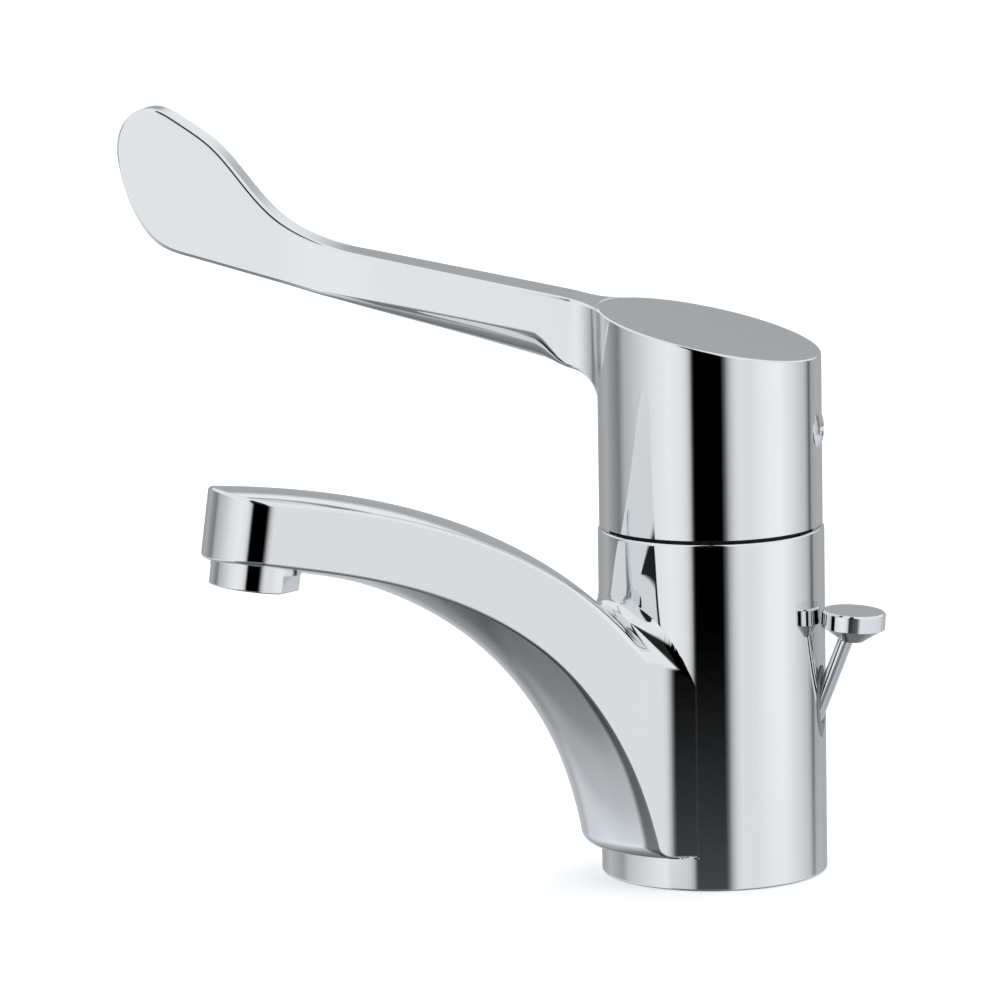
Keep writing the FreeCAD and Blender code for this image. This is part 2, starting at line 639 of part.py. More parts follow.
def cartridge_stem():
    """Square steel stem with a slimmer tail that ends in a ball."""
    stem = stem_bar(STEM_WIDTH, PIVOT_HEIGHT - STEM_WIDTH / 2, STEM_TOP)
    ball_height = disc_top() + STEM_BALL_STAND + STEM_BALL_RADIUS
    stem = stem.fuse(stem_bar(STEM_TAIL_WIDTH, ball_height + STEM_BALL_RADIUS / 2, PIVOT_HEIGHT))
    stem = stem.fuse(Part.makeSphere(STEM_BALL_RADIUS, V(0, 0, ball_height)))
    stem = stem.cut(pin_bore(PIN_RADIUS + RUNNING_CLEARANCE))
    stem = stem.cut(screw_shank(SCREW_SHANK_RADIUS + RUNNING_CLEARANCE))
    return to_lever_plane(one_solid(stem))


def disc_carrier():
    """Sliding carrier between the rotor's ribs, with a pocket for the stem's ball."""
    bottom = disc_top()
    carrier = cylinder(CARRIER_RADIUS, bottom, CARRIER_TOP)
    half = CARRIER_HALF_WIDTH
    carrier = carrier.common(block(-half, half, -CARRIER_RADIUS, CARRIER_RADIUS, bottom, CARRIER_TOP))
    pocket = STEM_BALL_RADIUS + STEM_POCKET_CLEARANCE
    carrier = carrier.cut(block(-pocket, pocket, -pocket, pocket,
                                bottom + CARRIER_POCKET_FLOOR, CARRIER_TOP + CUT_PAST))
    return to_lever_plane(one_solid(carrier))


def moving_ceramic_disc():
    """Moving disc that slides and turns on the fixed one, with its mixing channel."""
    bottom = CHAMBER_FLOOR + CARTRIDGE_BASE_THICKNESS + DISC_THICKNESS + DISC_FILM
    disc = cylinder(MOVING_DISC_RADIUS, bottom, bottom + MOVING_DISC_THICKNESS)
    top = bottom + MOVING_DISC_THICKNESS / 2
    below = bottom - CUT_PAST
    channel = block(-PORT_RADIUS, PORT_RADIUS, -CHANNEL_REACH, CHANNEL_REACH, below, top)
    for side in (-1, 1):
        channel = channel.fuse(cylinder(PORT_RADIUS, below, top, 0, side * CHANNEL_REACH))
    channel = channel.removeSplitter()
    return to_lever_plane(one_solid(disc.cut(channel)))


def cap_top_height(y):
    """Height of the cap's slanting top, which rises towards the lever along -Y."""
    return CAP_TOP_AT_AXIS - CAP_TOP_SLOPE * y


def slanted_cylinder(radius, bottom, drop):
    """Upright cylinder whose top is the cap's slant, lowered by a drop."""
    reach = 2 * radius
    corners = [V(-reach, -reach, cap_top_height(-reach) - drop), V(-reach, reach, cap_top_height(reach) - drop),
               V(-reach, reach, bottom - CUT_PAST), V(-reach, -reach, bottom - CUT_PAST)]
    side = Part.Face(Part.makePolygon(corners + corners[:1]))
    wedge = side.extrude(V(2 * reach, 0, 0))
    return cylinder(radius, bottom, CAP_TOP_AT_AXIS + radius).common(wedge)


def arm_profile():
    """Face of the lever arm's side view at x = 0."""
    def at(point):
        return V(0, point[0], CAP_TOP_AT_AXIS + point[1])

    knee_tangent = (at(ARM_TOP_KNEE) - at(ARM_TOP_ROOT)).normalize()
    under_tangent = (at(ARM_UNDER_ROOT) - at(ARM_UNDER_KNEE)).normalize()
    outline = [at(p) for p in [ARM_TOP_KNEE] + ARM_TOP_CURVE + [PADDLE_CREST] + PADDLE_NOSE + [ARM_UNDER_KNEE]]
    curve = Part.BSplineCurve()
    curve.interpolate(Points=outline, InitialTangent=knee_tangent, FinalTangent=under_tangent)
    inner_y = ARM_TOP_ROOT[0] + ARM_SEAT_DEPTH
    top_inner = at((inner_y, -CAP_TOP_SLOPE * inner_y - CAP_EDGE_ROUND))
    low_inner = at((inner_y, ARM_ROOT_FILLET[-1][1]))
    edges = [Part.LineSegment(at(ARM_TOP_ROOT), at(ARM_TOP_KNEE)).toShape(),
             curve.toShape(),
             Part.LineSegment(at(ARM_UNDER_KNEE), at(ARM_UNDER_ROOT)).toShape(),
             Part.Arc(at(ARM_UNDER_ROOT), at(ARM_ROOT_FILLET[0]), at(ARM_ROOT_FILLET[1])).toShape(),
             Part.LineSegment(at(ARM_ROOT_FILLET[1]), low_inner).toShape(),
             Part.LineSegment(low_inner, top_inner).toShape(),
             Part.LineSegment(top_inner, at(ARM_TOP_ROOT)).toShape()]
    return Part.Face(Part.Wire(edges))


def arm_half_plan():
    """Outline of one side of the arm seen from above: its corners and its edges in order."""
    flare_x = ARM_HALF_AT_CAP + ARM_FLARE_RADIUS
    flare_y = -math.sqrt((CAP_RADIUS + ARM_FLARE_RADIUS) ** 2 - flare_x ** 2)
    flare = V(flare_x, flare_y, 0)
    touch = flare * (CAP_RADIUS / (CAP_RADIUS + ARM_FLARE_RADIUS))
    start = V(ARM_HALF_AT_CAP, flare_y, 0)
    middle = flare + ((touch - flare) + (start - flare)).normalize() * ARM_FLARE_RADIUS
    inner = V(touch.x, ARM_TOP_ROOT[0] + ARM_SEAT_DEPTH, 0)
    paddle = V(PADDLE_HALF, PADDLE_START, 0)
    tip = V(PADDLE_HALF, PADDLE_REACH, 0)
    outwards = V(0, -1, 0)
    side = Part.BSplineCurve()
    side.interpolate(Points=[start] + [V(x, y, 0) for x, y in ARM_SIDE] + [paddle],
                     InitialTangent=outwards, FinalTangent=outwards)
    return [Part.LineSegment(inner, touch).toShape(),
            Part.Arc(touch, middle, start).toShape(),
            side.toShape(),
            Part.LineSegment(paddle, tip).toShape(),
            Part.LineSegment(tip, V(0, PADDLE_REACH, 0)).toShape(),
            Part.LineSegment(V(0, inner.y, 0), inner).toShape()]


def lever_arm():
    """Flat arm and paddle: thin at the paddle, wider to the root, where it flares into the cap."""
    near = arm_half_plan()
    far = [edge.mirror(ORIGIN, V(1, 0, 0)) for edge in near]
    outline = Part.Wire(Part.__sortEdges__(near + far))
    height = 2 * CAP_TOP_AT_AXIS
    reach = 2 * CAP_RADIUS
    side_view = arm_profile()
    side_view.translate(V(-reach, 0, 0))
    slab = side_view.extrude(V(2 * reach, 0, 0))
    plate = slab.common(Part.Face(outline).extrude(UP * height)).Solids[0]
    root = ARM_TOP_ROOT[0]
    soft = [e for e in plate.Edges if e.BoundBox.XMin * e.BoundBox.XMax > 0
            and e.BoundBox.YMax < root + CAP_WALL and e.BoundBox.XLength + e.BoundBox.YLength > CAP_GAP / 2]
    return plate.makeFillet(ARM_EDGE_ROUND, soft)


def cap_cavity():
    """Hollow under the cap: a round space with a boss left standing round the stem."""
    inner = CAP_RADIUS - CAP_WALL
    hollow = slanted_cylinder(inner, PIVOT_HEIGHT, CAP_ROOF)
    boss = cylinder(BOSS_RADIUS, BOSS_BOTTOM, CAP_TOP_AT_AXIS + CAP_RADIUS)
    rear_pad = block(-SCREW_HEAD_RADIUS, SCREW_HEAD_RADIUS, 0, inner,
                     SCREW_HEIGHT - SCREW_HEAD_RADIUS, CAP_TOP_AT_AXIS + CAP_RADIUS)
    return hollow.cut(boss).cut(rear_pad)


def screw_shank(radius):
    """Shank of the fixing screw, from the cap's rear wall into the stem."""
    tip = -STEM_WIDTH / 4
    return Part.makeCylinder(radius, CAP_RADIUS - tip, V(0, tip, SCREW_HEIGHT), V(0, 1, 0))


def screw_head_seat(clearance):
    """Round seat of the screw's head in the rear of the cap."""
    depth = SCREW_HEAD_RADIUS / 2
    return Part.makeCylinder(SCREW_HEAD_RADIUS + clearance, 2 * depth,
                             V(0, CAP_RADIUS - depth, SCREW_HEIGHT), V(0, 1, 0))


def button_hole():
    """Blind hole of the index button in the front of the cap."""
    return Part.makeCylinder(BUTTON_RADIUS, BUTTON_STEM_LENGTH + CUT_PAST,
                             V(0, -CAP_RADIUS + BUTTON_STEM_LENGTH, BUTTON_HEIGHT), V(0, -1, 0))


def stem_adapter_outer():
    """Outer form of the adapter that fills the boss round the stem."""
    return stem_bar(STEM_WIDTH + 2 * ADAPTER_WALL, BOSS_BOTTOM, STEM_TOP)


def handle():
    """Lever casting: slanted cap, hollow inside, with the flat arm and its paddle."""
    skirt = slanted_cylinder(CAP_RADIUS, PIVOT_HEIGHT, 0)
    top_rim = [e for e in skirt.Edges if e.BoundBox.ZMin > CAP_TOP_AT_AXIS - CAP_RADIUS / 2
               and e.BoundBox.XLength > CAP_RADIUS]
    skirt = skirt.makeFillet(CAP_EDGE_ROUND, top_rim)
    casting = skirt.fuse(lever_arm())
    casting = casting.cut(Part.makeSphere(sweep_radius(), V(0, 0, PIVOT_HEIGHT)))
    casting = casting.cut(cap_cavity())
    casting = casting.cut(stem_adapter_outer())
    casting = casting.cut(screw_shank(SCREW_SHANK_RADIUS + RUNNING_CLEARANCE))
    casting = casting.cut(screw_head_seat(RUNNING_CLEARANCE))
    casting = casting.cut(button_hole())
    return to_lever_plane(one_solid(casting))


def stem_adapter():
    """Plastic square sleeve between the stem and the boss of the handle."""
    bore = stem_bar(STEM_WIDTH, BOSS_BOTTOM - CUT_PAST, STEM_TOP + CUT_PAST)
    sleeve = stem_adapter_outer().cut(bore)
    sleeve = sleeve.cut(screw_shank(SCREW_SHANK_RADIUS + RUNNING_CLEARANCE))
    return to_lever_plane(one_solid(sleeve))


def handle_screw():
    """Domed cross-recessed screw that fixes the handle to the stem from the rear."""
    depth = SCREW_HEAD_RADIUS / 2
    seat_y = CAP_RADIUS - depth
    rim_y = CAP_RADIUS - SCREW_RIM_INSET
    crown_y = CAP_RADIUS + SCREW_CROWN_STAND
    outline = [Part.LineSegment(V(0, seat_y, 0), V(0, seat_y, SCREW_HEAD_RADIUS)).toShape(),
               Part.LineSegment(V(0, seat_y, SCREW_HEAD_RADIUS), V(0, rim_y, SCREW_HEAD_RADIUS)).toShape(),
               Part.Arc(V(0, rim_y, SCREW_HEAD_RADIUS),
                        V(0, rim_y + (crown_y - rim_y) * SCREW_CROWN_SHARE, SCREW_HEAD_RADIUS / 2),
                        V(0, crown_y, 0)).toShape(),
               Part.LineSegment(V(0, crown_y, 0), V(0, seat_y, 0)).toShape()]
    head = Part.Face(Part.Wire(outline)).revolve(ORIGIN, V(0, 1, 0), 360)
    head.translate(V(0, 0, SCREW_HEIGHT))
    half = SCREW_RECESS_WIDTH / 2
    reach = SCREW_RECESS_LENGTH / 2
    deep = crown_y - SCREW_RECESS_DEPTH
    above = crown_y + CUT_PAST
    cross = block(-half, half, deep, above, SCREW_HEIGHT - reach, SCREW_HEIGHT + reach)
    cross = cross.fuse(block(-reach, reach, deep, above, SCREW_HEIGHT - half, SCREW_HEIGHT + half))
    screw = head.fuse(screw_shank(SCREW_SHANK_RADIUS)).cut(cross)
    return to_lever_plane(one_solid(screw))


def index_button():
    """Small plain button pressed into the front of the cap, under the arm."""
    start = -CAP_RADIUS + BUTTON_STEM_LENGTH
    button = Part.makeCylinder(BUTTON_RADIUS, BUTTON_STEM_LENGTH + BUTTON_STAND,
                               V(0, start, BUTTON_HEIGHT), V(0, -1, 0))
    rim = [e for e in button.Edges if e.BoundBox.YMax < -CAP_RADIUS]
    return to_lever_plane(button.makeFillet(BUTTON_STAND / 2, rim))


def lift_rod():
    """Thin pull rod through the bush, up into the knob."""
    lean = math.radians(ROD_LEAN)
    bottom = -(ROD_EXIT_HEIGHT - ROD_BOTTOM) / math.cos(lean)
    return along_rod(ROD_RADIUS, bottom, knob_distance() + ROD_SEAT_IN_KNOB)


def knob_distance():
    """Distance along the rod from its exit point to the end of the knob's cone."""
    return (KNOB_CONE_BOTTOM - ROD_EXIT_HEIGHT) / math.cos(math.radians(ROD_LEAN))


def lift_knob():
    """Round knob with a bevelled edge on a flat cone, leaning a little, bored for the rod."""
    under = KNOB_TOP - KNOB_DISC_THICKNESS
    outline = [(0, KNOB_CONE_BOTTOM), (KNOB_CONE_END_RADIUS, KNOB_CONE_BOTTOM),
               (KNOB_RADIUS * KNOB_CONE_SHARE, under), (KNOB_RADIUS, under),
               (KNOB_RADIUS, KNOB_TOP - KNOB_BEVEL),
               (KNOB_RADIUS - KNOB_BEVEL, KNOB_TOP), (0, KNOB_TOP)]
    knob = revolved(outline)
    knob.translate(V(0, KNOB_AXIS_RADIUS, 0))
    knob.rotate(V(0, KNOB_AXIS_RADIUS, KNOB_TOP), V(1, 0, 0), -KNOB_LEAN)
    knob = to_rod_plane(knob)
    return one_solid(knob.cut(along_rod(ROD_RADIUS, 0, knob_distance() + ROD_SEAT_IN_KNOB)))


SUB_PARTS = [mixer_body, base_seal, aerator_housing, aerator_insert, aerator_screen, aerator_washer,
             cartridge_base, cartridge_seals, fixed_ceramic_disc, cartridge_shell, cartridge_nut,
             temperature_stop_ring, glide_ring, rod_guide_bush, cartridge_rotor, stem_pivot_pin,
             handle, cartridge_stem, stem_adapter, handle_screw, index_button, disc_carrier,
             moving_ceramic_disc, lift_rod, lift_knob]


def main():
    os.makedirs("parts", exist_ok=True)
    for sub_part in SUB_PARTS:
        shape = sub_part()
        name = sub_part.__name__
        if not shape.isValid():
            print(name, "is not a valid solid")
        shape.exportStep(os.path.join("parts", name + ".step"))
        print(name, round(shape.Volume, 1), len(shape.Solids))


main()
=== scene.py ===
"""Looks of a chromed single-lever basin mixer tap, built round its solid model.

Sizes are in millimetres in the shape functions and become metres where a mesh is made.
+Z is up, the spout points along -Y and the lever's plane is turned about Z.
"""
import math

import bpy
import numpy as np
from mathutils import Matrix, Vector
from mathutils.geometry import tessellate_polygon


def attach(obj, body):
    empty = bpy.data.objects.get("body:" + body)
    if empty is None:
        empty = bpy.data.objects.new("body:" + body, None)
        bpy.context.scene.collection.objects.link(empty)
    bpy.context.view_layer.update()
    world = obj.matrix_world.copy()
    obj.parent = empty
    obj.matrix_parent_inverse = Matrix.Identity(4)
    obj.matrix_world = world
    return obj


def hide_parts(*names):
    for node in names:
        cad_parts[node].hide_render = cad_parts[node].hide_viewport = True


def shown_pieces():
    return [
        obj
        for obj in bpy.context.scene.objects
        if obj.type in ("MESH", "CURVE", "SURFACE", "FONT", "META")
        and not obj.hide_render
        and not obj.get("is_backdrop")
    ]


bl_info = {
    "name": "Basin Mixer Tap",
    "version": (1, 0, 0),
    "blender": (4, 5, 0),
    "location": "View3D > Sidebar > Mixer Tap",
    "description": "Builds the finished surfaces, materials and studio of a basin mixer tap",
    "category": "Object",
}

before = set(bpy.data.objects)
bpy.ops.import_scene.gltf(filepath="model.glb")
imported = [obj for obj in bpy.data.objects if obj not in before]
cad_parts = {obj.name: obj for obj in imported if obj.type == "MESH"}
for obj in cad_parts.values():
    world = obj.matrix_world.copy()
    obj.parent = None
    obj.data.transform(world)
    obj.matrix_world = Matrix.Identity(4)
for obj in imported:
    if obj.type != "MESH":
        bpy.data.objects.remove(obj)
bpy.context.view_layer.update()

MM = 0.001

# Points round a large piece, a small one and a thin one, and steps across a rounding
LARGE_COUNT = 288
SMALL_COUNT = 192
KNOB_COUNT = 128
BUTTON_COUNT = 96
THIN_COUNT = 64
HOLE_COUNT = 48
ROUND_STEPS = 6
CAP_ROUND_STEPS = 8
RIM_ROUND_STEPS = 4
ARM_ROUND_STEPS = 10

# Points of the grids: round the nose, across the crown, down the spout's sides, along and across the arm
NOSE_POINTS = 49
SIDE_POINTS = (64, 20, 60, 61, 8)
CROWN_POINTS = 97
WALL_POINTS = 13
CAP_POINTS = 9
LID_POINTS = 7
FILLET_POINTS = 25
ARM_POINTS = 49
BAND_POINTS = 13
FACE_POINTS = 17
FLARE_TABLE_POINTS = 400
AERATOR_POINTS = 241
SCREW_RINGS = 72

# Welding grid, with a small shift that keeps round sizes off its halves, and steps for slopes
WELD = 0.001
WELD_SHIFT = 0.000123
SURFACE_STEP = 1e-4
RECESS_STEP = 1e-3
HALVINGS = 48

# Column of the body
COLUMN_RADIUS = 25.0
COLUMN_TOP = 77.3
COLUMN_TOP_ROUND = 0.8
COLUMN_FOOT_ROUND = 0.5
MOUTH_RADIUS = 22.45
MOUTH_STEP = 74.1
THREAD_RADIUS = 18.8
THREAD_BOTTOM = 66.0
CHAMBER_RADIUS = 17.6
CHAMBER_FLOOR = 42.0
SEAL_INNER_RADIUS = 20.8
SEAL_OUTER_RADIUS = 23.4
SEAL_DEPTH = 2.0
INLET_X = 8.5
INLET_Y = -4.0
INLET_RADIUS = 4.5
INLET_DEPTH = 12.0
STUD_Y = -14.5
STUD_RADIUS = 3.375
STUD_DEPTH = 15.0
THREAD_PITCH = 1.0
THREAD_HEIGHT = 0.25
THREAD_START = 0.8
THREAD_LEAD_IN = 0.35
THREAD_LEAD_HEIGHT = 0.45
THREAD_RUN_OUT = 1.5
THREAD_WAVE = ((0.0, 0.0), (1.0, 0.3), (1.0, 0.45), (0.0, 0.75))
DRILL_CONE = 0.5
SEAL_GROOVE_ROUND = 0.08
MOUTH_ROUND = 0.25
THREAD_EDGE_ROUND = 0.15
INNER_ROUND = 0.1

# Spout: poles (y, z) of the upper and lower edge of its flat sides, from nose to foot
FOOT_HEIGHT = 7.3
UPPER_EDGE = ((-126.0, 95.1), (-26.1, 87.4), (-13.2, 40.2), (-4.0, FOOT_HEIGHT))
LOWER_EDGE = ((-127.0, 84.8), (-109.0, 74.8), (-36.3, 82.2), (-21.5, FOOT_HEIGHT))
UPPER_PACE = 1.85
HALF_WIDTH_AT_BODY = 17.8
BODY_STATION = -17.5
SPOUT_TAPER = 0.0617
CROWN_RADIUS = 48.0
BELLY_AT_NOSE = 1.8
BELLY_AT_FOOT = 8.15
BELLY_GROWS_FROM = 0.34
BELLY_GROWS_TO = 0.84
NOSE_Y = -108.75
NOSE_HEIGHT = 78.5
NOSE_TILT = math.radians(8.1)
FOOT_ROUND = 3.0
FOOT_START = 0.986
FOOT_END_Y = -6.0
SPOUT_END = -6.5
WALL_MIDDLE = 21.5
UPPER_EDGE_ROUND = 0.8
LOWER_EDGE_ROUND = 0.7

# Root of the spout: places along Y between which a form comes or goes, and the valley at the column
LEAN_FADES = (-48.0, -30.0)
ROOT_EDGE_GAIN = 1.6
ROOT_EDGE_COMES = (-42.0, -28.0)
ROOT_EDGE_GOES = (-26.0, -19.5)
ROOT_EDGE_LOSS = 0.6
ROOT_EDGE_LOSS_COMES = (-24.0, -18.0)
ROOT_FLARE = 18.0
CLOSER_ROWS_FROM = -40.0
CLOSEST_ROWS_FROM = -31.0
BLEND_REACH = 5.5
BLEND_RISE = 5.5
BLEND_RISE_AT_SIDE = 12.5
BLEND_SIDE = 21.0
BLEND_STEEPNESS = 0.985
BLEND_POWER = 0.6
BLEND_INSIDE_SLOPE = 10.0
BLEND_INSIDE_DEPTH = 0.4
BODY_MIDDLE = (0.0, 30.0, 120.0)

# Aerator in the nose
AERATOR_RADIUS = 9.85
AERATOR_BORE = 7.85
AERATOR_BOTTOM = 73.4
AERATOR_TOP = 82.9
AERATOR_ROUND = 0.4
AERATOR_BORE_ROUND = 0.3
AERATOR_TOP_ROUND = 0.2
FLAT_HEIGHT = 4.0
FLAT_STEP = 0.1
FLAT_HALF_ACROSS = 8.5
FLAT_TURN = math.radians(45.0)
FLAT_EDGE_TURN = 0.006
FLAT_FROM_BORE = 0.5

# Lever with its cap: the arm's half width grows by steps of (from, to, gain)
LEVER_TURN = math.radians(-40.0)
CAP_RADIUS = 24.65
CAP_WALL = 3.3
CAP_ROOF = 9.0
CAP_TOP = 120.9
CAP_SLOPE = 0.2231
CAP_EDGE_ROUND = 0.5
RIM_ROUND = 0.25
PIVOT_HEIGHT = 65.5
RIM_HEIGHT = 77.75
RIM_HOLLOW = 0.2
RIM_HOLLOW_FADES = (22.6, 24.0)
ARM_HALF = 6.0
PADDLE_HALF = 3.3
ARM_WIDENS = (-98.0, -74.0, 1.65)
ARM_SPREADS = (-90.0, -30.0, 1.05)
ARM_EDGE_ROUND = 0.9
ARM_LOWER_ROUND = 7.0
ARM_LOWER_DEPTH = 5.0
LOWER_ROUND_FROM = -88.0
LOWER_ROUND_POWER = 0.8
LOWER_ROUND_GOES_BEFORE_FLARE = (9.0, 0.5)
UPRIGHT_EDGES_FROM = -60.0
TOP_SUNK = 0.02
ARM_END_BULGE = 0.5
FLARE_RADIUS = 8.5
UNDER_FILLET = 6.0
TOP_ROOT = (-24.2, 126.75)
TOP_KNEE = (-80.0, 136.5)
UNDER_KNEE = (-117.0, 134.15)
UNDER_ROOT = (-31.0, 112.4)
PADDLE_OUTLINE = (TOP_KNEE, (-89.0, 139.0), (-97.1, 143.3), (-105.4, 151.8), (-112.6, 159.8),
                  (-119.9, 164.8), (-127.1, 167.7), (-132.2, 165.4), (-134.6, 160.0), (-133.7, 151.6),
                  (-130.2, 142.7), (-124.9, 136.8), UNDER_KNEE)
PADDLE_TIP = 8
POINTS_PER_SPAN = 12
TOP_EASE = 12.0

# Flare between the arm's sides and the cap: centre of its arc in plan, and the angle at which it ends
FLARE_X = ARM_HALF + FLARE_RADIUS
FLARE_Y = -math.sqrt((CAP_RADIUS + FLARE_RADIUS) ** 2 - FLARE_X ** 2)
FLARE_END = math.acos(FLARE_X / (CAP_RADIUS + FLARE_RADIUS))

# Screw and button of the lever
SCREW_HEIGHT = 99.3
SCREW_RADIUS = 4.3
SCREW_RIM_INSET = 0.1
SCREW_STAND = 0.9
SCREW_EDGE = 0.15
SCREW_EDGE_DROP = 0.1
SCREW_EDGE_ROUND = 0.08
RECESS_HALF_LENGTH = 2.2
RECESS_HALF_WIDTH = 0.45
RECESS_DEPTH = 1.3
RECESS_WALL = (0.8, 1.35)
RECESS_END = 0.45
BUTTON_HEIGHT = 101.0
BUTTON_RADIUS = 1.8
BUTTON_STAND = 0.4
HEAD_SET_IN = 1.5

# Pull rod and knob behind the body
ROD_TURN = math.radians(-43.0)
ROD_RADIUS = 1.7
ROD_LEAN = math.radians(21.7)
ROD_EXIT_HEIGHT = 38.6
ROD_BOTTOM = 1.6
ROD_IN_KNOB = 3.0
ROD_FOOT_ROUND = 0.4
ROD_TOP_ROUND = 0.2
BUSH_RADIUS = 2.95
BUSH_BORE = 1.75
BUSH_STAND = 0.25
BUSH_DEPTH = 9.0
BUSH_LEAD_IN = 0.25
BUSH_LEAD_DEPTH = 0.3
BUSH_EDGE = 0.15
BUSH_FACE_INSET = 0.2
KNOB_RADIUS = 7.05
KNOB_AXIS = 32.6
KNOB_TOP = 59.4
KNOB_LEAN = math.radians(4.0)
KNOB_THICKNESS = 3.9
KNOB_BEVEL = 0.4
KNOB_ROUND = 0.25
KNOB_CONE_BOTTOM = 52.6
KNOB_CONE_RADIUS = 2.4
KNOB_CONE_TOP = 6.56
KNOB_CONE_FOOT_ROUND = 0.3
KNOB_CONE_TOP_ROUND = 0.5

# Camera: angles in degrees, distances in metres, lens and sensor in millimetres
CAMERA_AZIMUTH = 65.5
CAMERA_ELEVATION = 10.08
CAMERA_DISTANCE = 1.7
CAMERA_LENS = 277.7
CAMERA_SENSOR = 36.0
CAMERA_ROLL = 0.93
CAMERA_NEAR = 0.05
CAMERA_FAR = 50.0
AIM_RIGHT = -0.04642
AIM_HEIGHT = 0.0835

# Studio light by direction round the object: degrees from the camera, to the right, and strength
ROUND_STOPS = ((-180.0, 0.42), (-158.0, 0.37), (-136.0, 0.48), (-122.0, 0.34), (-110.0, 0.24),
               (-100.0, 0.52), (-83.0, 0.68), (-62.0, 0.90), (-44.0, 1.00), (-31.0, 0.93),
               (-26.0, 0.82), (-22.0, 0.52), (-19.5, 0.06), (-18.0, 0.0), (10.0, 0.0),
               (13.5, 0.12), (17.0, 0.45), (22.0, 0.74), (28.0, 0.88), (42.0, 0.87), (58.0, 1.00),
               (75.0, 1.04), (95.0, 0.82), (112.0, 0.60), (117.0, 0.42), (122.0, 0.12),
               (127.0, 0.42), (142.0, 0.48), (160.0, 0.44), (180.0, 0.42))
# Overhead light by direction: the dark gap goes on above
HIGH_STOPS = ((-180.0, 0.95), (-27.0, 0.95), (-19.0, 0.02), (12.0, 0.02), (19.0, 0.95), (180.0, 0.95))
# Share of the floor light by direction: darkest below the camera, and dimmer behind the tap
LOW_STOPS = ((-180.0, 0.75), (-165.0, 0.70), (-149.0, 0.64), (-137.0, 0.95), (-93.0, 1.2),
             (-52.0, 1.2), (-46.0, 0.30), (12.0, 0.30), (22.0, 1.1), (137.0, 0.95), (149.0, 0.64),
             (180.0, 0.75))
# Floor light by the direction's fall below level: sine of the elevation and strength
FALL_STOPS = ((-1.0, 0.17), (-0.92, 0.20), (-0.80, 0.26), (-0.69, 0.42), (-0.57, 0.50), (-0.46, 0.72),
              (-0.30, 0.82))
# Sines of the elevation between which the panels turn into the overhead light and into the floor light
OVERHEAD_COMES = (0.235, 0.34)
FLOOR_COMES = (-0.19, -0.29)
COOL_TINT = (0.985, 1.0, 1.02)

# Floor in metres, and its glow to the camera
FLOOR_RADIUS = 2.2
FLOOR_DROP = 0.00005
FLOOR_CORNERS = 96
FLOOR_ROUGHNESS = 0.9
FLOOR_GLOW = 0.45
WHITE = (1.0, 1.0, 1.0, 1.0)

# Finishes: material, word in the name of the solid model's own material, colour setting, fine or coarse
# unevenness, share by which the colour darkens, metallic, lowest and highest roughness, relief in metres
FINISHES = (("Chrome plate", "chrome", "chrome", "Uneven polish", 0.015, 1.0, 0.02, 0.04, 0.000002),
            ("Brushed steel", "steel", "steel", "Uneven polish", 0.12, 1.0, 0.22, 0.32, 0.00001),
            ("Turned brass", "brass", "brass", "Uneven polish", 0.12, 1.0, 0.25, 0.35, 0.00001),
            ("Black rubber", "black_rubber", "rubber", "Moulded grain", 0.2, 0.0, 0.6, 0.8, 0.00005),
            ("Black plastic", "black_plastic", "black", "Moulded grain", 0.2, 0.0, 0.4, 0.5, 0.00002),
            ("Grey plastic", "grey_plastic", "grey", "Moulded grain", 0.1, 0.0, 0.4, 0.5, 0.00002),
            ("White plastic", "white_plastic", "white", "Moulded grain", 0.05, 0.0, 0.35, 0.45, 0.00002),
            ("Red plastic", "red_plastic", "red", "Moulded grain", 0.1, 0.0, 0.35, 0.45, 0.00002),
            ("Ceramic", "ceramic", "ceramic", "Moulded grain", 0.04, 0.0, 0.12, 0.2, 0.000005))
# Scale and detail of each unevenness, and how much finer its relief is
UNEVENNESS = {"Uneven polish": (40.0, 2.0), "Moulded grain": (400.0, 3.0)}
RELIEF_FINENESS = 9.0
# Sockets of a mix of colours
MIX_SHARE = 0
MIX_FIRST = 6
MIX_SECOND = 7
MIX_RESULT = 2

# Directions
UP = np.array([0.0, 0.0, 1.0])
BACKWARD = np.array([0.0, 1.0, 0.0])
MIRROR = np.array([-1.0, 1.0, 1.0])


def unit(vectors):
    """Vectors divided by their own lengths."""
    size = np.linalg.norm(vectors, axis=-1, keepdims=True)
    return vectors / np.maximum(size, 1e-12)


def eased(value, low, high):
    """Smooth step: 0 below low, 1 above high, 3 w^2 - 2 w^3 between."""
    way = np.clip((value - low) / (high - low), 0.0, 1.0)
    return way * way * (3.0 - 2.0 * way)


def cubic_point(poles, share):
    """Cubic Bezier curve: the four poles weighted by the Bernstein terms of the share."""
    share = np.asarray(share, float)[..., None]
    rest = 1.0 - share
    p = np.array(poles, float)
    return (rest ** 3 * p[0] + 3.0 * rest ** 2 * share * p[1]
            + 3.0 * rest * share ** 2 * p[2] + share ** 3 * p[3])


def turned(points, angle):
    """Points or normals turned about the Z axis."""
    c = math.cos(angle)
    s = math.sin(angle)
    x = points[..., 0]
    y = points[..., 1]
    return np.stack([c * x - s * y, s * x + c * y, points[..., 2]], axis=-1)


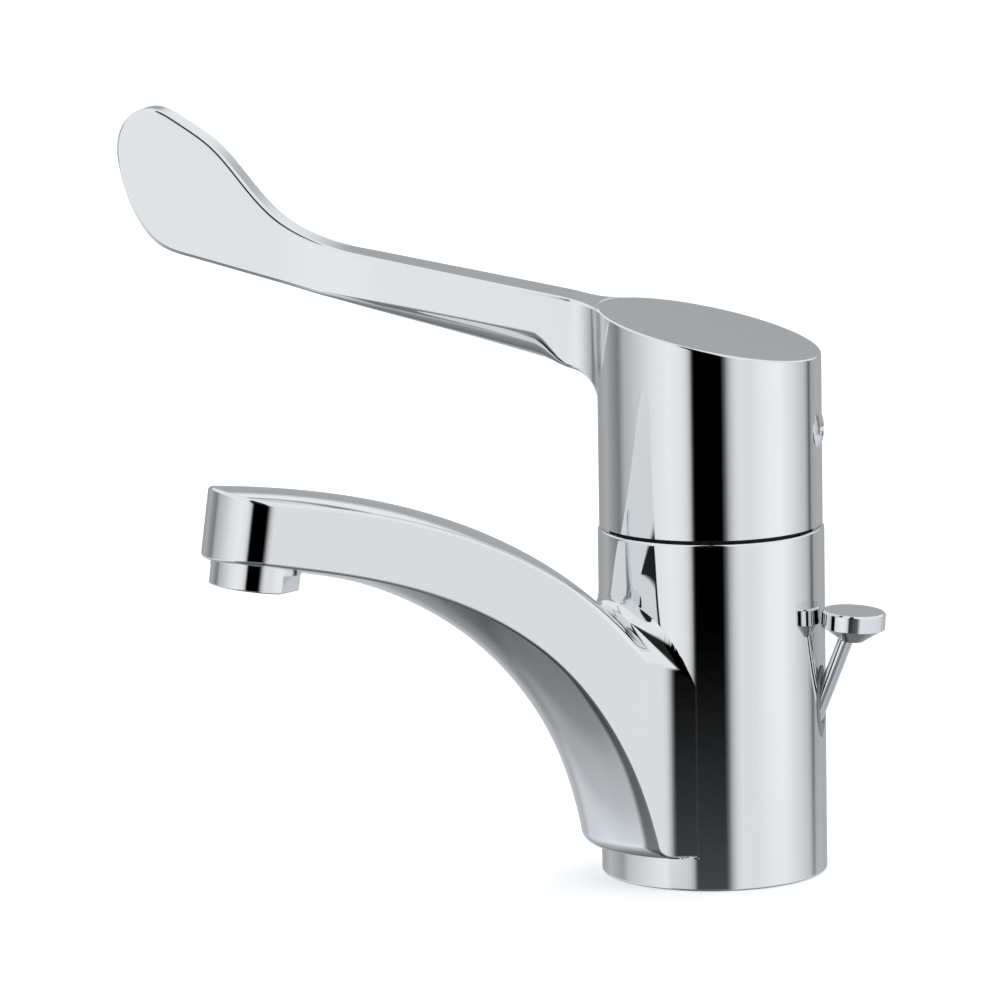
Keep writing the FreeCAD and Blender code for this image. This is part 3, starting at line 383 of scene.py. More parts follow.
def strip(start, corner, end, start_normal, end_normal, count):
    """Rounded edge: a conic arc from start to end whose control point is the sharp corner.

    The middle weight is the cosine of half the angle between the two normals, which
    makes a true circle where both tangents are equally long. Normals turn along it.
    """
    t = np.linspace(0.0, 1.0, count + 1)[:, None]
    start = start[..., None, :]
    corner = corner[..., None, :]
    end = end[..., None, :]
    dot = np.clip(np.sum(start_normal * end_normal, axis=-1), -1.0, 1.0)
    angle = np.arccos(dot)[..., None, None]
    weight = np.cos(angle / 2.0)
    low = (1.0 - t) ** 2
    mid = 2.0 * weight * t * (1.0 - t)
    high = t ** 2
    points = (low * start + mid * corner + high * end) / (low + mid + high)
    from_start = start_normal[..., None, :] * (low + mid / 2.0)
    from_end = end_normal[..., None, :] * (high + mid / 2.0)
    return points, unit(from_start + from_end)


def grid_normals(points, outward):
    """Normals of a grid from its finite differences, turned to the side of a rough outward guess."""
    along = np.gradient(points, axis=0)
    across = np.gradient(points, axis=1)
    normals = unit(np.cross(along, across))
    side = np.sign(np.sum(normals * outward, axis=-1, keepdims=True))
    return normals * np.where(side == 0, 1.0, side)


def quads_of(rows, columns, start):
    """Corner numbers of the quads of a grid."""
    index = start + np.arange(rows * columns).reshape(rows, columns)
    corners = [index[:-1, :-1], index[:-1, 1:], index[1:, 1:], index[1:, :-1]]
    return np.stack(corners, axis=-1).reshape(-1, 4)


def make_piece(name, patches, body, material, replaced, extra=None):
    """One closed mesh from grids of points and normals.

    Points that round to the same thousandth of a millimetre are welded, so seams close
    and poles become single points. Each face is wound to agree with its normals. Quads
    that lost a corner become triangles, and those that lost more are left out.
    """
    points = [p.reshape(-1, 3) for p, n in patches]
    normals = [n.reshape(-1, 3) for p, n in patches]
    faces = []
    start = 0
    for p, n in patches:
        rows, columns = p.shape[:2]
        faces.append(quads_of(rows, columns, start))
        start += rows * columns
    if extra is not None:
        more_points, more_normals, triangles = extra
        points.append(more_points)
        normals.append(more_normals)
        faces.append(np.column_stack([triangles, triangles[:, 2]]) + start)
    points = np.concatenate(points)
    normals = np.concatenate(normals)
    faces = np.concatenate(faces)
    key = np.round((points + WELD_SHIFT) / WELD).astype(np.int64)
    unused, first, place = np.unique(key, axis=0, return_index=True, return_inverse=True)
    place = place.reshape(-1)
    points = points[first]
    faces = place[faces]
    guide = unit(normals)[first]
    one = points[faces[:, 2]] - points[faces[:, 0]]
    two = points[faces[:, 3]] - points[faces[:, 1]]
    facing = np.sum(np.cross(one, two) * np.mean(guide[faces], axis=1), axis=-1)
    faces = np.where(facing[:, None] < 0.0, faces[:, ::-1], faces)
    same = faces == np.roll(faces, -1, axis=1)
    whole = faces[np.sum(same, axis=1) == 0]
    narrow = faces[np.sum(same, axis=1) == 1]
    keep = ~(narrow == np.roll(narrow, -1, axis=1))
    triangles = narrow[keep].reshape(-1, 3)
    distinct = (whole[:, 0] != whole[:, 2]) & (whole[:, 1] != whole[:, 3])
    whole = whole[distinct]
    mesh = bpy.data.meshes.new(name)
    mesh.from_pydata((points * MM).tolist(), [], whole.tolist() + triangles.tolist())
    mesh.update()
    mesh.polygons.foreach_set("use_smooth", np.ones(len(mesh.polygons), bool))
    mesh.normals_split_custom_set_from_vertices(guide.tolist())
    mesh.materials.append(material)
    piece = bpy.data.objects.new(name, mesh)
    bpy.context.scene.collection.objects.link(piece)
    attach(piece, body)
    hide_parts(*replaced)


def rounded_profile(corners, radii):
    """Profile of (radius, height) corners, each inner one cut back and rounded by an arc.

    Both ends of the profile are left as they are. Returns the points and the normals
    to the right of the way along the profile.
    """
    corners = np.array(corners, float)
    way = unit(corners[1:] - corners[:-1])
    side = np.column_stack([way[:, 1], -way[:, 0]])
    points = [corners[:1]]
    normals = [side[:1]]
    for i in range(1, len(corners) - 1):
        turn = math.acos(max(-1.0, min(1.0, float(np.dot(way[i - 1], way[i])))))
        cut = radii[i - 1] * math.tan(turn / 2.0)
        start = corners[i] - way[i - 1] * cut
        end = corners[i] + way[i] * cut
        arc, arc_normals = strip(start[None], corners[i][None], end[None], side[i - 1][None], side[i][None],
                                 ROUND_STEPS)
        points.append(arc[0])
        normals.append(arc_normals[0])
    points.append(corners[-1:])
    normals.append(side[-1:])
    return np.concatenate(points), np.concatenate(normals)


def revolve(profile, normals, count):
    """Surface of revolution about Z: each (radius, height) is carried round the circle."""
    angle = np.linspace(0.0, 2.0 * np.pi, count + 1)[None, :]
    radius = profile[:, 0][:, None]
    height = profile[:, 1][:, None] + 0.0 * angle
    points = np.stack([radius * np.cos(angle), radius * np.sin(angle), height], axis=-1)
    out = normals[:, 0][:, None]
    up = normals[:, 1][:, None] + 0.0 * angle
    turned_normals = np.stack([out * np.cos(angle), out * np.sin(angle), up], axis=-1)
    points[:, -1] = points[:, 0]
    return points, turned_normals


def placed(patch, matrix):
    """A grid of points and normals carried by a rigid movement in millimetres."""
    points, normals = patch
    m = np.array(matrix)
    return points @ m[:3, :3].T + m[:3, 3], normals @ m[:3, :3].T


def half_width(y):
    """Half width between the spout's tapering sides."""
    return HALF_WIDTH_AT_BODY + SPOUT_TAPER * (y - BODY_STATION)


def spout_frame(share):
    """Upper and lower edge points of the section at a share, and the direction from lower to upper."""
    upper = cubic_point(UPPER_EDGE, np.clip(share, 0.0, 1.0) ** UPPER_PACE)
    lower = cubic_point(LOWER_EDGE, share)
    return upper, lower, unit(upper - lower)


def root_lift(x, y):
    """Rise of the spout's top in the rounded valley along the column.

    Inside its reach the rise is one minus a power of one minus the square of the
    closeness, which is level where it starts and nearly upright at the column. It
    is higher towards the sides and goes on steeply inside the metal.
    """
    out = np.hypot(x, y) - COLUMN_RADIUS
    close = np.clip(1.0 - out / BLEND_REACH, 0.0, 1.0)
    rise = BLEND_RISE + (BLEND_RISE_AT_SIDE - BLEND_RISE) * eased(np.abs(x), 0.0, BLEND_SIDE)
    inside = BLEND_INSIDE_SLOPE * np.clip(-out, 0.0, BLEND_INSIDE_DEPTH)
    return rise * (1.0 - (1.0 - BLEND_STEEPNESS * close ** 2) ** BLEND_POWER) + inside


def crown(x, share):
    """Top of the spout: the upper edge raised along the section by a flat arc across."""
    x, share = np.broadcast_arrays(np.asarray(x, float), np.asarray(share, float))
    upper, lower, across = spout_frame(share)
    half = half_width(upper[..., 0])
    rise = np.sqrt(CROWN_RADIUS ** 2 - x ** 2) - np.sqrt(CROWN_RADIUS ** 2 - half ** 2)
    y = upper[..., 0] + across[..., 0] * rise
    return np.stack([x, y, upper[..., 1] + across[..., 1] * rise + root_lift(x, y)], axis=-1)


def belly(x, reach):
    """Underside of the spout, in three stretches of reach.

    From 0 to 1 it is the lower edge lowered by an arc across that deepens to the foot,
    from 1 to 2 a quarter round into the foot, and from 2 to 3 the level foot.
    """
    x, reach = np.broadcast_arrays(np.asarray(x, float), np.asarray(reach, float))
    share = np.minimum(reach, 1.0) * FOOT_START
    upper, lower, across = spout_frame(share)
    half = half_width(lower[..., 0])
    growth = eased(share, BELLY_GROWS_FROM, BELLY_GROWS_TO)
    deep = BELLY_AT_NOSE + (BELLY_AT_FOOT - BELLY_AT_NOSE) * growth
    radius = (half ** 2 + deep ** 2) / (2.0 * deep)
    fall = np.sqrt(np.maximum(radius ** 2 - x ** 2, 0.0)) - (radius - deep)
    y = lower[..., 0] - across[..., 0] * fall
    z = lower[..., 1] - across[..., 1] * fall
    turn = np.clip(reach - 1.0, 0.0, 1.0) * np.pi / 2.0
    rounded_y = y + FOOT_ROUND * (1.0 - np.cos(turn))
    rounded_z = z - (z - FOOT_HEIGHT) * np.sin(turn)
    level = np.clip(reach - 2.0, 0.0, 1.0)
    end_y = rounded_y + level * (FOOT_END_Y - rounded_y)
    return np.stack([x, end_y, rounded_z], axis=-1)


def solve_reach(surface, x, place, high, lean):
    """Reach at which a surface meets the plan outline, found by halving the interval.

    Places are measured along Y, down the outline's lean to the nose's height.
    """
    low = np.zeros_like(x)
    top = np.full_like(x, high)
    for unused in range(HALVINGS):
        middle = (low + top) / 2.0
        points = surface(x, middle)
        short = points[..., 1] - lean * (points[..., 2] - NOSE_HEIGHT) < place
        low = np.where(short, middle, low)
        top = np.where(short, top, middle)
    return (low + top) / 2.0


def surface_normal(surface, x, reach):
    """Normal from the central differences of a surface."""
    du = surface(x + SURFACE_STEP, reach) - surface(x - SURFACE_STEP, reach)
    dv = surface(x, reach + SURFACE_STEP) - surface(x, reach - SURFACE_STEP)
    return unit(np.cross(du, dv))


def trimmed_edge(surface, x, reach, edge, distance, sign):
    """Move from the edge into a surface, square to the edge.

    The wanted step is the edge's direction turned by the normal. The two derivatives
    of the surface give the changes of x and reach that make it, by least squares.
    """
    step = SURFACE_STEP
    du = (surface(x + step, reach) - surface(x - step, reach)) / (2.0 * step)
    dv = (surface(x, reach + step) - surface(x, np.maximum(reach - step, 0.0))) / (2.0 * step)
    normal = unit(np.cross(du, dv)) * sign
    tangent = np.gradient(edge, axis=0)
    tangent[0] = (1.0, 0.0, 0.0)
    wanted = unit(np.cross(normal, unit(tangent))) * distance
    inward = np.where(np.sum(wanted * du, axis=-1, keepdims=True) > 1e-9, -1.0, 1.0)
    wanted = wanted * inward
    wanted[0] = np.abs(wanted[0]) * np.array([0.0, 1.0, 1.0]) * np.sign(dv[0])
    a = np.sum(du * du, axis=-1)
    b = np.sum(du * dv, axis=-1)
    c = np.sum(dv * dv, axis=-1)
    e = np.sum(du * wanted, axis=-1)
    f = np.sum(dv * wanted, axis=-1)
    det = a * c - b * b
    new_x = x + (c * e - b * f) / det
    new_reach = reach + (a * f - b * e) / det
    new_x[0] = 0.0
    return np.maximum(new_x, 0.0), new_reach


def root_flare():
    """Circle in plan that is tangent to the spout's tapering side and to the column.

    Its centre lies one flare radius beside the side's line and the sum of both radii
    from the column's axis, which gives a quadratic equation for where the side ends.
    Returns the centre, the place where the side ends and the place on the column.
    """
    taper = math.atan(SPOUT_TAPER)
    across = half_width(0.0) + ROOT_FLARE * math.cos(taper)
    back = ROOT_FLARE * math.sin(taper)
    reach = COLUMN_RADIUS + ROOT_FLARE
    half_b = across * SPOUT_TAPER - back
    c = across ** 2 + back ** 2 - reach ** 2
    a = 1.0 + SPOUT_TAPER ** 2
    side_end = (-half_b - math.sqrt(half_b ** 2 - a * c)) / a
    centre = (across + SPOUT_TAPER * side_end, side_end - back)
    return centre, side_end, centre[1] * COLUMN_RADIUS / reach


def side_outline(place):
    """Half width in plan along the side, its slope and its lean: taper, then the root's flare."""
    centre, side_end, column_place = root_flare()
    along = np.clip(place, side_end, column_place) - centre[1]
    depth = np.sqrt(ROOT_FLARE ** 2 - along ** 2)
    in_flare = place > side_end
    half = np.where(in_flare, centre[0] - depth, half_width(place))
    slope = np.where(in_flare, along / depth, SPOUT_TAPER)
    lean = math.tan(NOSE_TILT) * (1.0 - eased(place, *LEAN_FADES))
    return half, slope, lean


def within_wall(points):
    """Points past the middle of the column's wall brought back to it along Y."""
    limit = -np.sqrt(WALL_MIDDLE ** 2 - points[..., 0] ** 2)
    return np.stack([points[..., 0], np.minimum(points[..., 1], limit), points[..., 2]], axis=-1)


def spout_outline():
    """Plan outline of the spout from the middle of the nose to its end in the wall.

    It is a quarter round the nose, the tapering side and the flare into the column,
    with closer rows where the root's forms change. Returns x, the place along Y, the
    lean and the side's normal of each row.
    """
    taper = math.atan(SPOUT_TAPER)
    nose_radius = half_width(NOSE_Y) * math.cos(taper)
    turn = np.linspace(0.0, np.pi / 2.0 - taper, NOSE_POINTS)
    touch_place = NOSE_Y - nose_radius * math.sin(taper)
    side_end, column_place = root_flare()[1:]
    ends = (touch_place, CLOSER_ROWS_FROM, CLOSEST_ROWS_FROM, side_end, column_place, SPOUT_END)
    side_place = np.concatenate([np.linspace(start, end, count)[1:]
                                 for start, end, count in zip(ends[:-1], ends[1:], SIDE_POINTS)])
    side_half, side_slope, side_lean = side_outline(side_place)
    x = np.concatenate([nose_radius * np.sin(turn), side_half])
    place = np.concatenate([NOSE_Y - nose_radius * np.cos(turn), side_place])
    lean = np.concatenate([np.full_like(turn, math.tan(NOSE_TILT)), side_lean])
    flat = np.stack([np.concatenate([np.cos(turn), side_slope]),
                     np.concatenate([np.sin(turn), np.ones_like(side_slope)]), 0.0 * x], axis=-1)
    wall_normal = unit(np.cross(flat, np.stack([0.0 * lean, lean, np.ones_like(lean)], axis=-1)))
    return x, place, lean, wall_normal


def spout_patches(upper_round, lower_round):
    """Spout as a closed ring of crown, upright sides, belly and rounded edges.

    Rows follow the plan outline. The sides are ruled along the nose's lean, which fades
    to upright near the column, and the crown and belly meet them where their height
    over the outline says. All rows end in the middle of the column's wall, where a
    curtain between crown and belly with a fan at each side closes the shell.
    """
    x, place, lean, wall_normal = spout_outline()

    def on_wall(height):
        """Points of the upright side over the outline at given heights."""
        y = place[:, None] + lean[:, None] * (height - NOSE_HEIGHT)
        return np.stack([np.broadcast_to(x[:, None], y.shape), y, height], axis=-1)

    def edge_of(surface, high, sign, cut):
        """Edge row of a surface, and x and reach of its outermost row once the edge is cut back."""
        reach = solve_reach(surface, x, place, high, lean)
        edge = surface(x, reach)
        new_x, new_reach = trimmed_edge(surface, x, reach, edge, cut[:, None], sign)
        return edge, new_x, new_reach

    columns = np.linspace(-1.0, 1.0, CROWN_POINTS)[None, :]
    lower_round = np.full_like(place, lower_round)
    gain = ROOT_EDGE_GAIN * eased(place, *ROOT_EDGE_COMES) * (1.0 - eased(place, *ROOT_EDGE_GOES))
    loss = ROOT_EDGE_LOSS * eased(place, *ROOT_EDGE_LOSS_COMES)
    upper_round = (upper_round + gain) * (1.0 - loss)
    top_edge, top_x, top_reach = edge_of(crown, 1.0, 1.0, upper_round)
    low_edge, low_x, low_reach = edge_of(belly, 3.0, -1.0, lower_round)
    top_points = crown(top_x[:, None] * columns, top_reach[:, None])
    top_normals = surface_normal(crown, top_x[:, None] * columns, top_reach[:, None])
    top_normals = top_normals * np.where(top_normals[..., 2:] < 0.0, -1.0, 1.0)
    low_points = belly(low_x[:, None] * columns, low_reach[:, None])
    low_normals = surface_normal(belly, low_x[:, None] * columns, low_reach[:, None])
    away = np.sum(low_normals * (low_points - np.array(BODY_MIDDLE)), axis=-1, keepdims=True)
    low_normals = low_normals * np.where(away < 0.0, -1.0, 1.0)
    wall_top = top_edge[:, 2] - upper_round
    wall_low = low_edge[:, 2] + lower_round
    share = np.linspace(0.0, 1.0, WALL_POINTS)[None, :]
    wall_points = on_wall(wall_top[:, None] * (1.0 - share) + wall_low[:, None] * share)
    wall_normals = np.broadcast_to(wall_normal[:, None, :], wall_points.shape)
    upper_strip = strip(top_points[:, -1], top_edge, wall_points[:, 0], top_normals[:, -1], wall_normal,
                        ROUND_STEPS)
    lower_strip = strip(wall_points[:, -1], low_edge, low_points[:, -1], wall_normal, low_normals[:, -1],
                        ROUND_STEPS)
    top_points = within_wall(top_points)
    low_points = within_wall(low_points)
    right = [(within_wall(p), n) for p, n in (upper_strip, (wall_points, wall_normals), lower_strip)]
    left = [(p * MIRROR, n * MIRROR) for p, n in right]
    patches = [(top_points, top_normals), (low_points, low_normals)] + right + left
    curtain = np.stack([top_points[-1], low_points[-1]])
    side = np.concatenate([p[-1] for p, n in right])
    fan = np.stack([side, np.broadcast_to(low_points[-1][-1:], side.shape)])
    for closing in (curtain, fan, fan * MIRROR):
        patches.append((closing, np.broadcast_to(BACKWARD, closing.shape)))
    return patches


def thread_profile(radius, depth):
    """Wall of a threaded hole from the underside up: a lead-in, grooves, then a cone at the end."""
    turns = int((depth - THREAD_RUN_OUT) / THREAD_PITCH)
    corners = [(radius + THREAD_LEAD_IN, 0.0), (radius, THREAD_LEAD_HEIGHT)]
    for height in np.arange(turns) * THREAD_PITCH + THREAD_START:
        for out, share in THREAD_WAVE:
            corners.append((radius + THREAD_HEIGHT * out, height + THREAD_PITCH * share))
    corners.append((radius, depth))
    corners.append((0.0, depth + radius * DRILL_CONE))
    corners = np.array(corners)
    keep = np.concatenate([[True], np.linalg.norm(np.diff(corners, axis=0), axis=1) > 1e-6])
    return corners[keep]


def underside():
    """Level underside inside the seal's groove, with three threaded holes.

    The disc between the outer circle and the holes is triangulated once, and each
    hole's wall is a turned thread profile that starts on its circle.
    """
    holes = [(-INLET_X, INLET_Y, INLET_RADIUS, INLET_DEPTH), (INLET_X, INLET_Y, INLET_RADIUS, INLET_DEPTH),
             (0.0, STUD_Y, STUD_RADIUS, STUD_DEPTH)]
    angle = np.linspace(0.0, 2.0 * np.pi, LARGE_COUNT + 1)[:-1]
    loops = [SEAL_INNER_RADIUS * np.stack([np.cos(angle), np.sin(angle), 0.0 * angle], axis=-1)]
    patches = []
    for hole_x, hole_y, radius, depth in holes:
        profile = thread_profile(radius, depth)
        way = unit(np.diff(profile, axis=0))
        side = np.column_stack([way[:, 1], -way[:, 0]])
        normals = unit(np.concatenate([side[:1], side[:-1] + side[1:], side[-1:]]))
        points, hole_normals = revolve(profile, -normals, HOLE_COUNT)
        patches.append(placed((points, hole_normals), Matrix.Translation((hole_x, hole_y, 0.0))))
        loops.append(points[0, :-1] + np.array([hole_x, hole_y, 0.0]))
    lines = [[Vector(p) for p in loop] for loop in loops]
    triangles = np.array(tessellate_polygon(lines))
    points = np.concatenate(loops)
    return patches, (points, np.broadcast_to(-UP, points.shape), triangles)


def column_patches(top_round):
    """Column as one turned profile, from the seal's groove round the outside into the chamber."""
    corners = [(SEAL_INNER_RADIUS, 0.0), (SEAL_INNER_RADIUS, SEAL_DEPTH), (SEAL_OUTER_RADIUS, SEAL_DEPTH),
               (SEAL_OUTER_RADIUS, 0.0), (COLUMN_RADIUS, 0.0), (COLUMN_RADIUS, COLUMN_TOP),
               (MOUTH_RADIUS, COLUMN_TOP), (MOUTH_RADIUS, MOUTH_STEP), (THREAD_RADIUS, MOUTH_STEP),
               (THREAD_RADIUS, THREAD_BOTTOM), (CHAMBER_RADIUS, THREAD_BOTTOM),
               (CHAMBER_RADIUS, CHAMBER_FLOOR), (0.0, CHAMBER_FLOOR)]
    radii = [SEAL_GROOVE_ROUND] * 3 + [COLUMN_FOOT_ROUND, top_round, MOUTH_ROUND]
    radii += [INNER_ROUND, THREAD_EDGE_ROUND] * 2 + [INNER_ROUND]
    profile, normals = rounded_profile(corners, radii)
    return [revolve(profile, normals, LARGE_COUNT)]


def cap_height(y):
    """Height of the cap's slanted top, which rises along -Y towards the lever."""
    return CAP_TOP - CAP_SLOPE * y


def cap_patches(edge_round):
    """Cap: outer wall cut by the slanted top, rounded rim, spherical lower rim, hollow with its roof."""
    angle = np.linspace(0.0, 2.0 * np.pi, LARGE_COUNT + 1)
    out = np.stack([np.cos(angle), np.sin(angle), 0.0 * angle], axis=-1)
    out[-1] = out[0]
    tilt = unit(np.array([0.0, CAP_SLOPE, 1.0]))
    plane_normal = np.broadcast_to(tilt, out.shape)

    def ring_at(radius, height):
        """Ring of points at one radius and given heights."""
        return out * radius + UP * np.broadcast_to(np.asarray(height, float), angle.shape)[:, None]

    inner = CAP_RADIUS - CAP_WALL
    sphere = math.hypot(CAP_RADIUS, RIM_HEIGHT - PIVOT_HEIGHT)
    corner_y = out[:, 1] * CAP_RADIUS
    corner = ring_at(CAP_RADIUS, cap_height(corner_y))
    wall_top = ring_at(CAP_RADIUS, cap_height(corner_y) - edge_round)
    top_y = out[:, 1] * (CAP_RADIUS - edge_round)
    top_ring = ring_at(CAP_RADIUS - edge_round, cap_height(top_y))
    rounding = strip(wall_top, corner, top_ring, out, plane_normal, CAP_ROUND_STEPS)
    share = np.linspace(0.0, 1.0, CAP_POINTS)
    rim_start = ring_at(CAP_RADIUS, RIM_HEIGHT + RIM_ROUND)
    wall = rim_start[:, None, :] * (1.0 - share[:, None]) + wall_top[:, None, :] * share[:, None]
    wall_normals = np.broadcast_to(out[:, None, :], wall.shape)
    lid_share = np.linspace(1.0, 0.0, LID_POINTS)
    lid_rings = [ring_at((CAP_RADIUS - edge_round) * s, cap_height(top_y * s)) for s in lid_share]
    lid = np.stack(lid_rings, axis=1)
    lid_normals = np.broadcast_to(tilt, lid.shape)
    radii = np.linspace(CAP_RADIUS - RIM_ROUND, inner, CAP_POINTS)
    hollow_gain = RIM_HOLLOW * (1.0 - eased(radii, *RIM_HOLLOW_FADES))
    heights = PIVOT_HEIGHT + np.sqrt((sphere + hollow_gain) ** 2 - radii ** 2)
    rim = np.stack([ring_at(r, h) for r, h in zip(radii, heights)], axis=1)
    rim_normals = unit(UP * PIVOT_HEIGHT - rim)
    corner_low = ring_at(CAP_RADIUS, RIM_HEIGHT)
    rim_round = strip(rim[:, 0], corner_low, rim_start, rim_normals[:, 0], out, RIM_ROUND_STEPS)
    inner_y = out[:, 1] * inner
    hollow_top = ring_at(inner, cap_height(inner_y) - CAP_ROOF)
    hollow = rim[:, -1][:, None, :] * (1.0 - share[:, None]) + hollow_top[:, None, :] * share[:, None]
    hollow_normals = np.broadcast_to(-out[:, None, :], hollow.shape)
    roof_rings = [ring_at(inner * s, cap_height(inner_y * s) - CAP_ROOF) for s in lid_share]
    roof = np.stack(roof_rings, axis=1)
    roof_normals = np.broadcast_to(-tilt, roof.shape)
    return [rounding, (wall, wall_normals), (lid, lid_normals), (rim, rim_normals), rim_round,
            (hollow, hollow_normals), (roof, roof_normals)]


def fitted_curve(points, start_way, end_way, per_span):
    """Smooth curve through points: cubic spans whose slopes keep the bend continuous.

    The parameter is the distance between the points, and the slopes come from one
    tridiagonal system with the two end directions given.
    """
    p = np.array(points, float)
    gap = np.linalg.norm(np.diff(p, axis=0), axis=1)
    count = len(p)
    system = np.zeros((count, count))
    right = np.zeros((count, 2))
    system[0, 0] = 1.0
    system[-1, -1] = 1.0
    right[0] = start_way
    right[-1] = end_way
    middle = np.arange(1, count - 1)
    before = gap[middle - 1]
    after = gap[middle]
    system[middle, middle - 1] = after
    system[middle, middle] = 2.0 * (before + after)
    system[middle, middle + 1] = before
    right[middle] = 3.0 * ((after / before)[:, None] * (p[middle] - p[middle - 1])
                           + (before / after)[:, None] * (p[middle + 1] - p[middle]))
    slope = np.linalg.solve(system, right)
    t = np.linspace(0.0, 1.0, per_span + 1)[:-1][None, :, None]
    h = gap[:, None, None]
    a = p[:-1][:, None, :]
    b = p[1:][:, None, :]
    u = slope[:-1][:, None, :]
    v = slope[1:][:, None, :]
    spans = ((2 * t ** 3 - 3 * t ** 2 + 1) * a + (t ** 3 - 2 * t ** 2 + t) * h * u
             + (-2 * t ** 3 + 3 * t ** 2) * b + (t ** 3 - t ** 2) * h * v)
    return np.concatenate([spans.reshape(-1, 2), p[-1:]])


def arm_top(y):
    """Height of the arm's top: its straight line, eased up to the cap's slanted plane at the root."""
    slope = (TOP_KNEE[1] - TOP_ROOT[1]) / (TOP_KNEE[0] - TOP_ROOT[0])
    line = TOP_ROOT[1] + slope * (y - TOP_ROOT[0])
    way = eased(-CAP_RADIUS - y, 0.0, TOP_EASE)
    return line * way + cap_height(y) * (1.0 - way)


def arm_side(y):
    """Half width of the arm at a place along it, and how fast it changes.

    The paddle's half width grows by two smooth steps, 3 w^2 - 2 w^3 each.
    """
    half = np.full_like(y, PADDLE_HALF)
    slope = np.zeros_like(y)
    for low, high, gain in (ARM_WIDENS, ARM_SPREADS):
        way = np.clip((y - low) / (high - low), 0.0, 1.0)
        half = half + gain * way * way * (3.0 - 2.0 * way)
        slope = slope + gain * 6.0 * way * (1.0 - way) / (high - low)
    return half, slope


def flare_angle(y):
    """Angle along the flare's arc: 0 where it leaves the arm, most where it meets the cap."""
    return np.arcsin(np.clip((y - FLARE_Y) / FLARE_RADIUS, 0.0, math.sin(FLARE_END)))


def side_at(y):
    """Half width and its slope, along the arm or in the flare."""
    half, slope = arm_side(y)
    angle = flare_angle(y)
    in_flare = y > FLARE_Y
    half = np.where(in_flare, ARM_HALF + FLARE_RADIUS * (1.0 - np.cos(angle)), half)
    return half, np.where(in_flare, np.tan(angle), slope)


def bow_at(y):
    """Share of the cap's own curve that a row across the arm takes, from none to all."""
    return eased(flare_angle(y), 0.0, FLARE_END)


def bowed(x, half, y, bow):
    """Place along the arm across a row that bows like the cap's wall."""
    return y - bow * (np.sqrt(CAP_RADIUS ** 2 - x ** 2) - np.sqrt(CAP_RADIUS ** 2 - half ** 2))


def arm_outline():
    """Side outline of arm and paddle: (y, z) rows of its top and its underside, from root to tip.

    The underside starts with an arc that is tangent to the arm's line and to the cap's
    wall. The top's rows in the root lie where the bowed rows meet that arc. Returns
    both, how many rows are in the root and how many come before the paddle.
    """
    under_slope = (UNDER_KNEE[1] - UNDER_ROOT[1]) / (UNDER_KNEE[0] - UNDER_ROOT[0])
    under_angle = math.atan(-under_slope)
    bend_y = -CAP_RADIUS - UNDER_FILLET
    line_at_bend = UNDER_ROOT[1] + under_slope * (bend_y - UNDER_ROOT[0])
    bend_z = line_at_bend - UNDER_FILLET / math.cos(under_angle)
    table = FLARE_Y + FLARE_RADIUS * np.sin(np.linspace(0.0, FLARE_END, FLARE_TABLE_POINTS))
    table_half = side_at(table)[0]
    middle = bowed(0.0 * table, table_half, table, bow_at(table))
    turn = np.linspace(np.pi / 2.0 - under_angle, 0.0, FILLET_POINTS)
    fillet_y = np.maximum(bend_y + UNDER_FILLET * np.cos(turn), middle[0])
    root_y = np.interp(fillet_y, middle, table)[::-1]
    root_under_y = fillet_y[::-1]
    root_under_z = (bend_z + UNDER_FILLET * np.sin(turn))[::-1]
    straight = np.linspace(0.0, 1.0, ARM_POINTS)[1:-1]
    top_y = root_y[-1] + straight * (TOP_KNEE[0] - root_y[-1])
    top_line = np.column_stack([top_y, arm_top(top_y)])
    low_y = root_under_y[-1] + straight * (UNDER_KNEE[0] - root_under_y[-1])
    low_line = np.column_stack([low_y, UNDER_ROOT[1] + under_slope * (low_y - UNDER_ROOT[0])])
    top_way = unit(np.array(TOP_KNEE) - np.array(TOP_ROOT))
    under_way = unit(np.array(UNDER_ROOT) - np.array(UNDER_KNEE))
    outline = fitted_curve(PADDLE_OUTLINE, top_way, under_way, POINTS_PER_SPAN)
    tip = PADDLE_TIP * POINTS_PER_SPAN
    upper_part = outline[:tip + 1]
    lower_part = outline[tip:][::-1]
    pick = np.linspace(0.0, 1.0, len(upper_part))
    spread = np.linspace(0.0, 1.0, len(lower_part))
    lower_part = np.column_stack([np.interp(pick, spread, side) for side in lower_part.T])
    roots = len(root_y)
    top = np.concatenate([np.column_stack([root_y, arm_top(root_y)]), top_line, upper_part])
    low = np.concatenate([np.column_stack([root_y, root_under_z]), low_line, lower_part])
    return top, low, roots, roots + len(top_line)


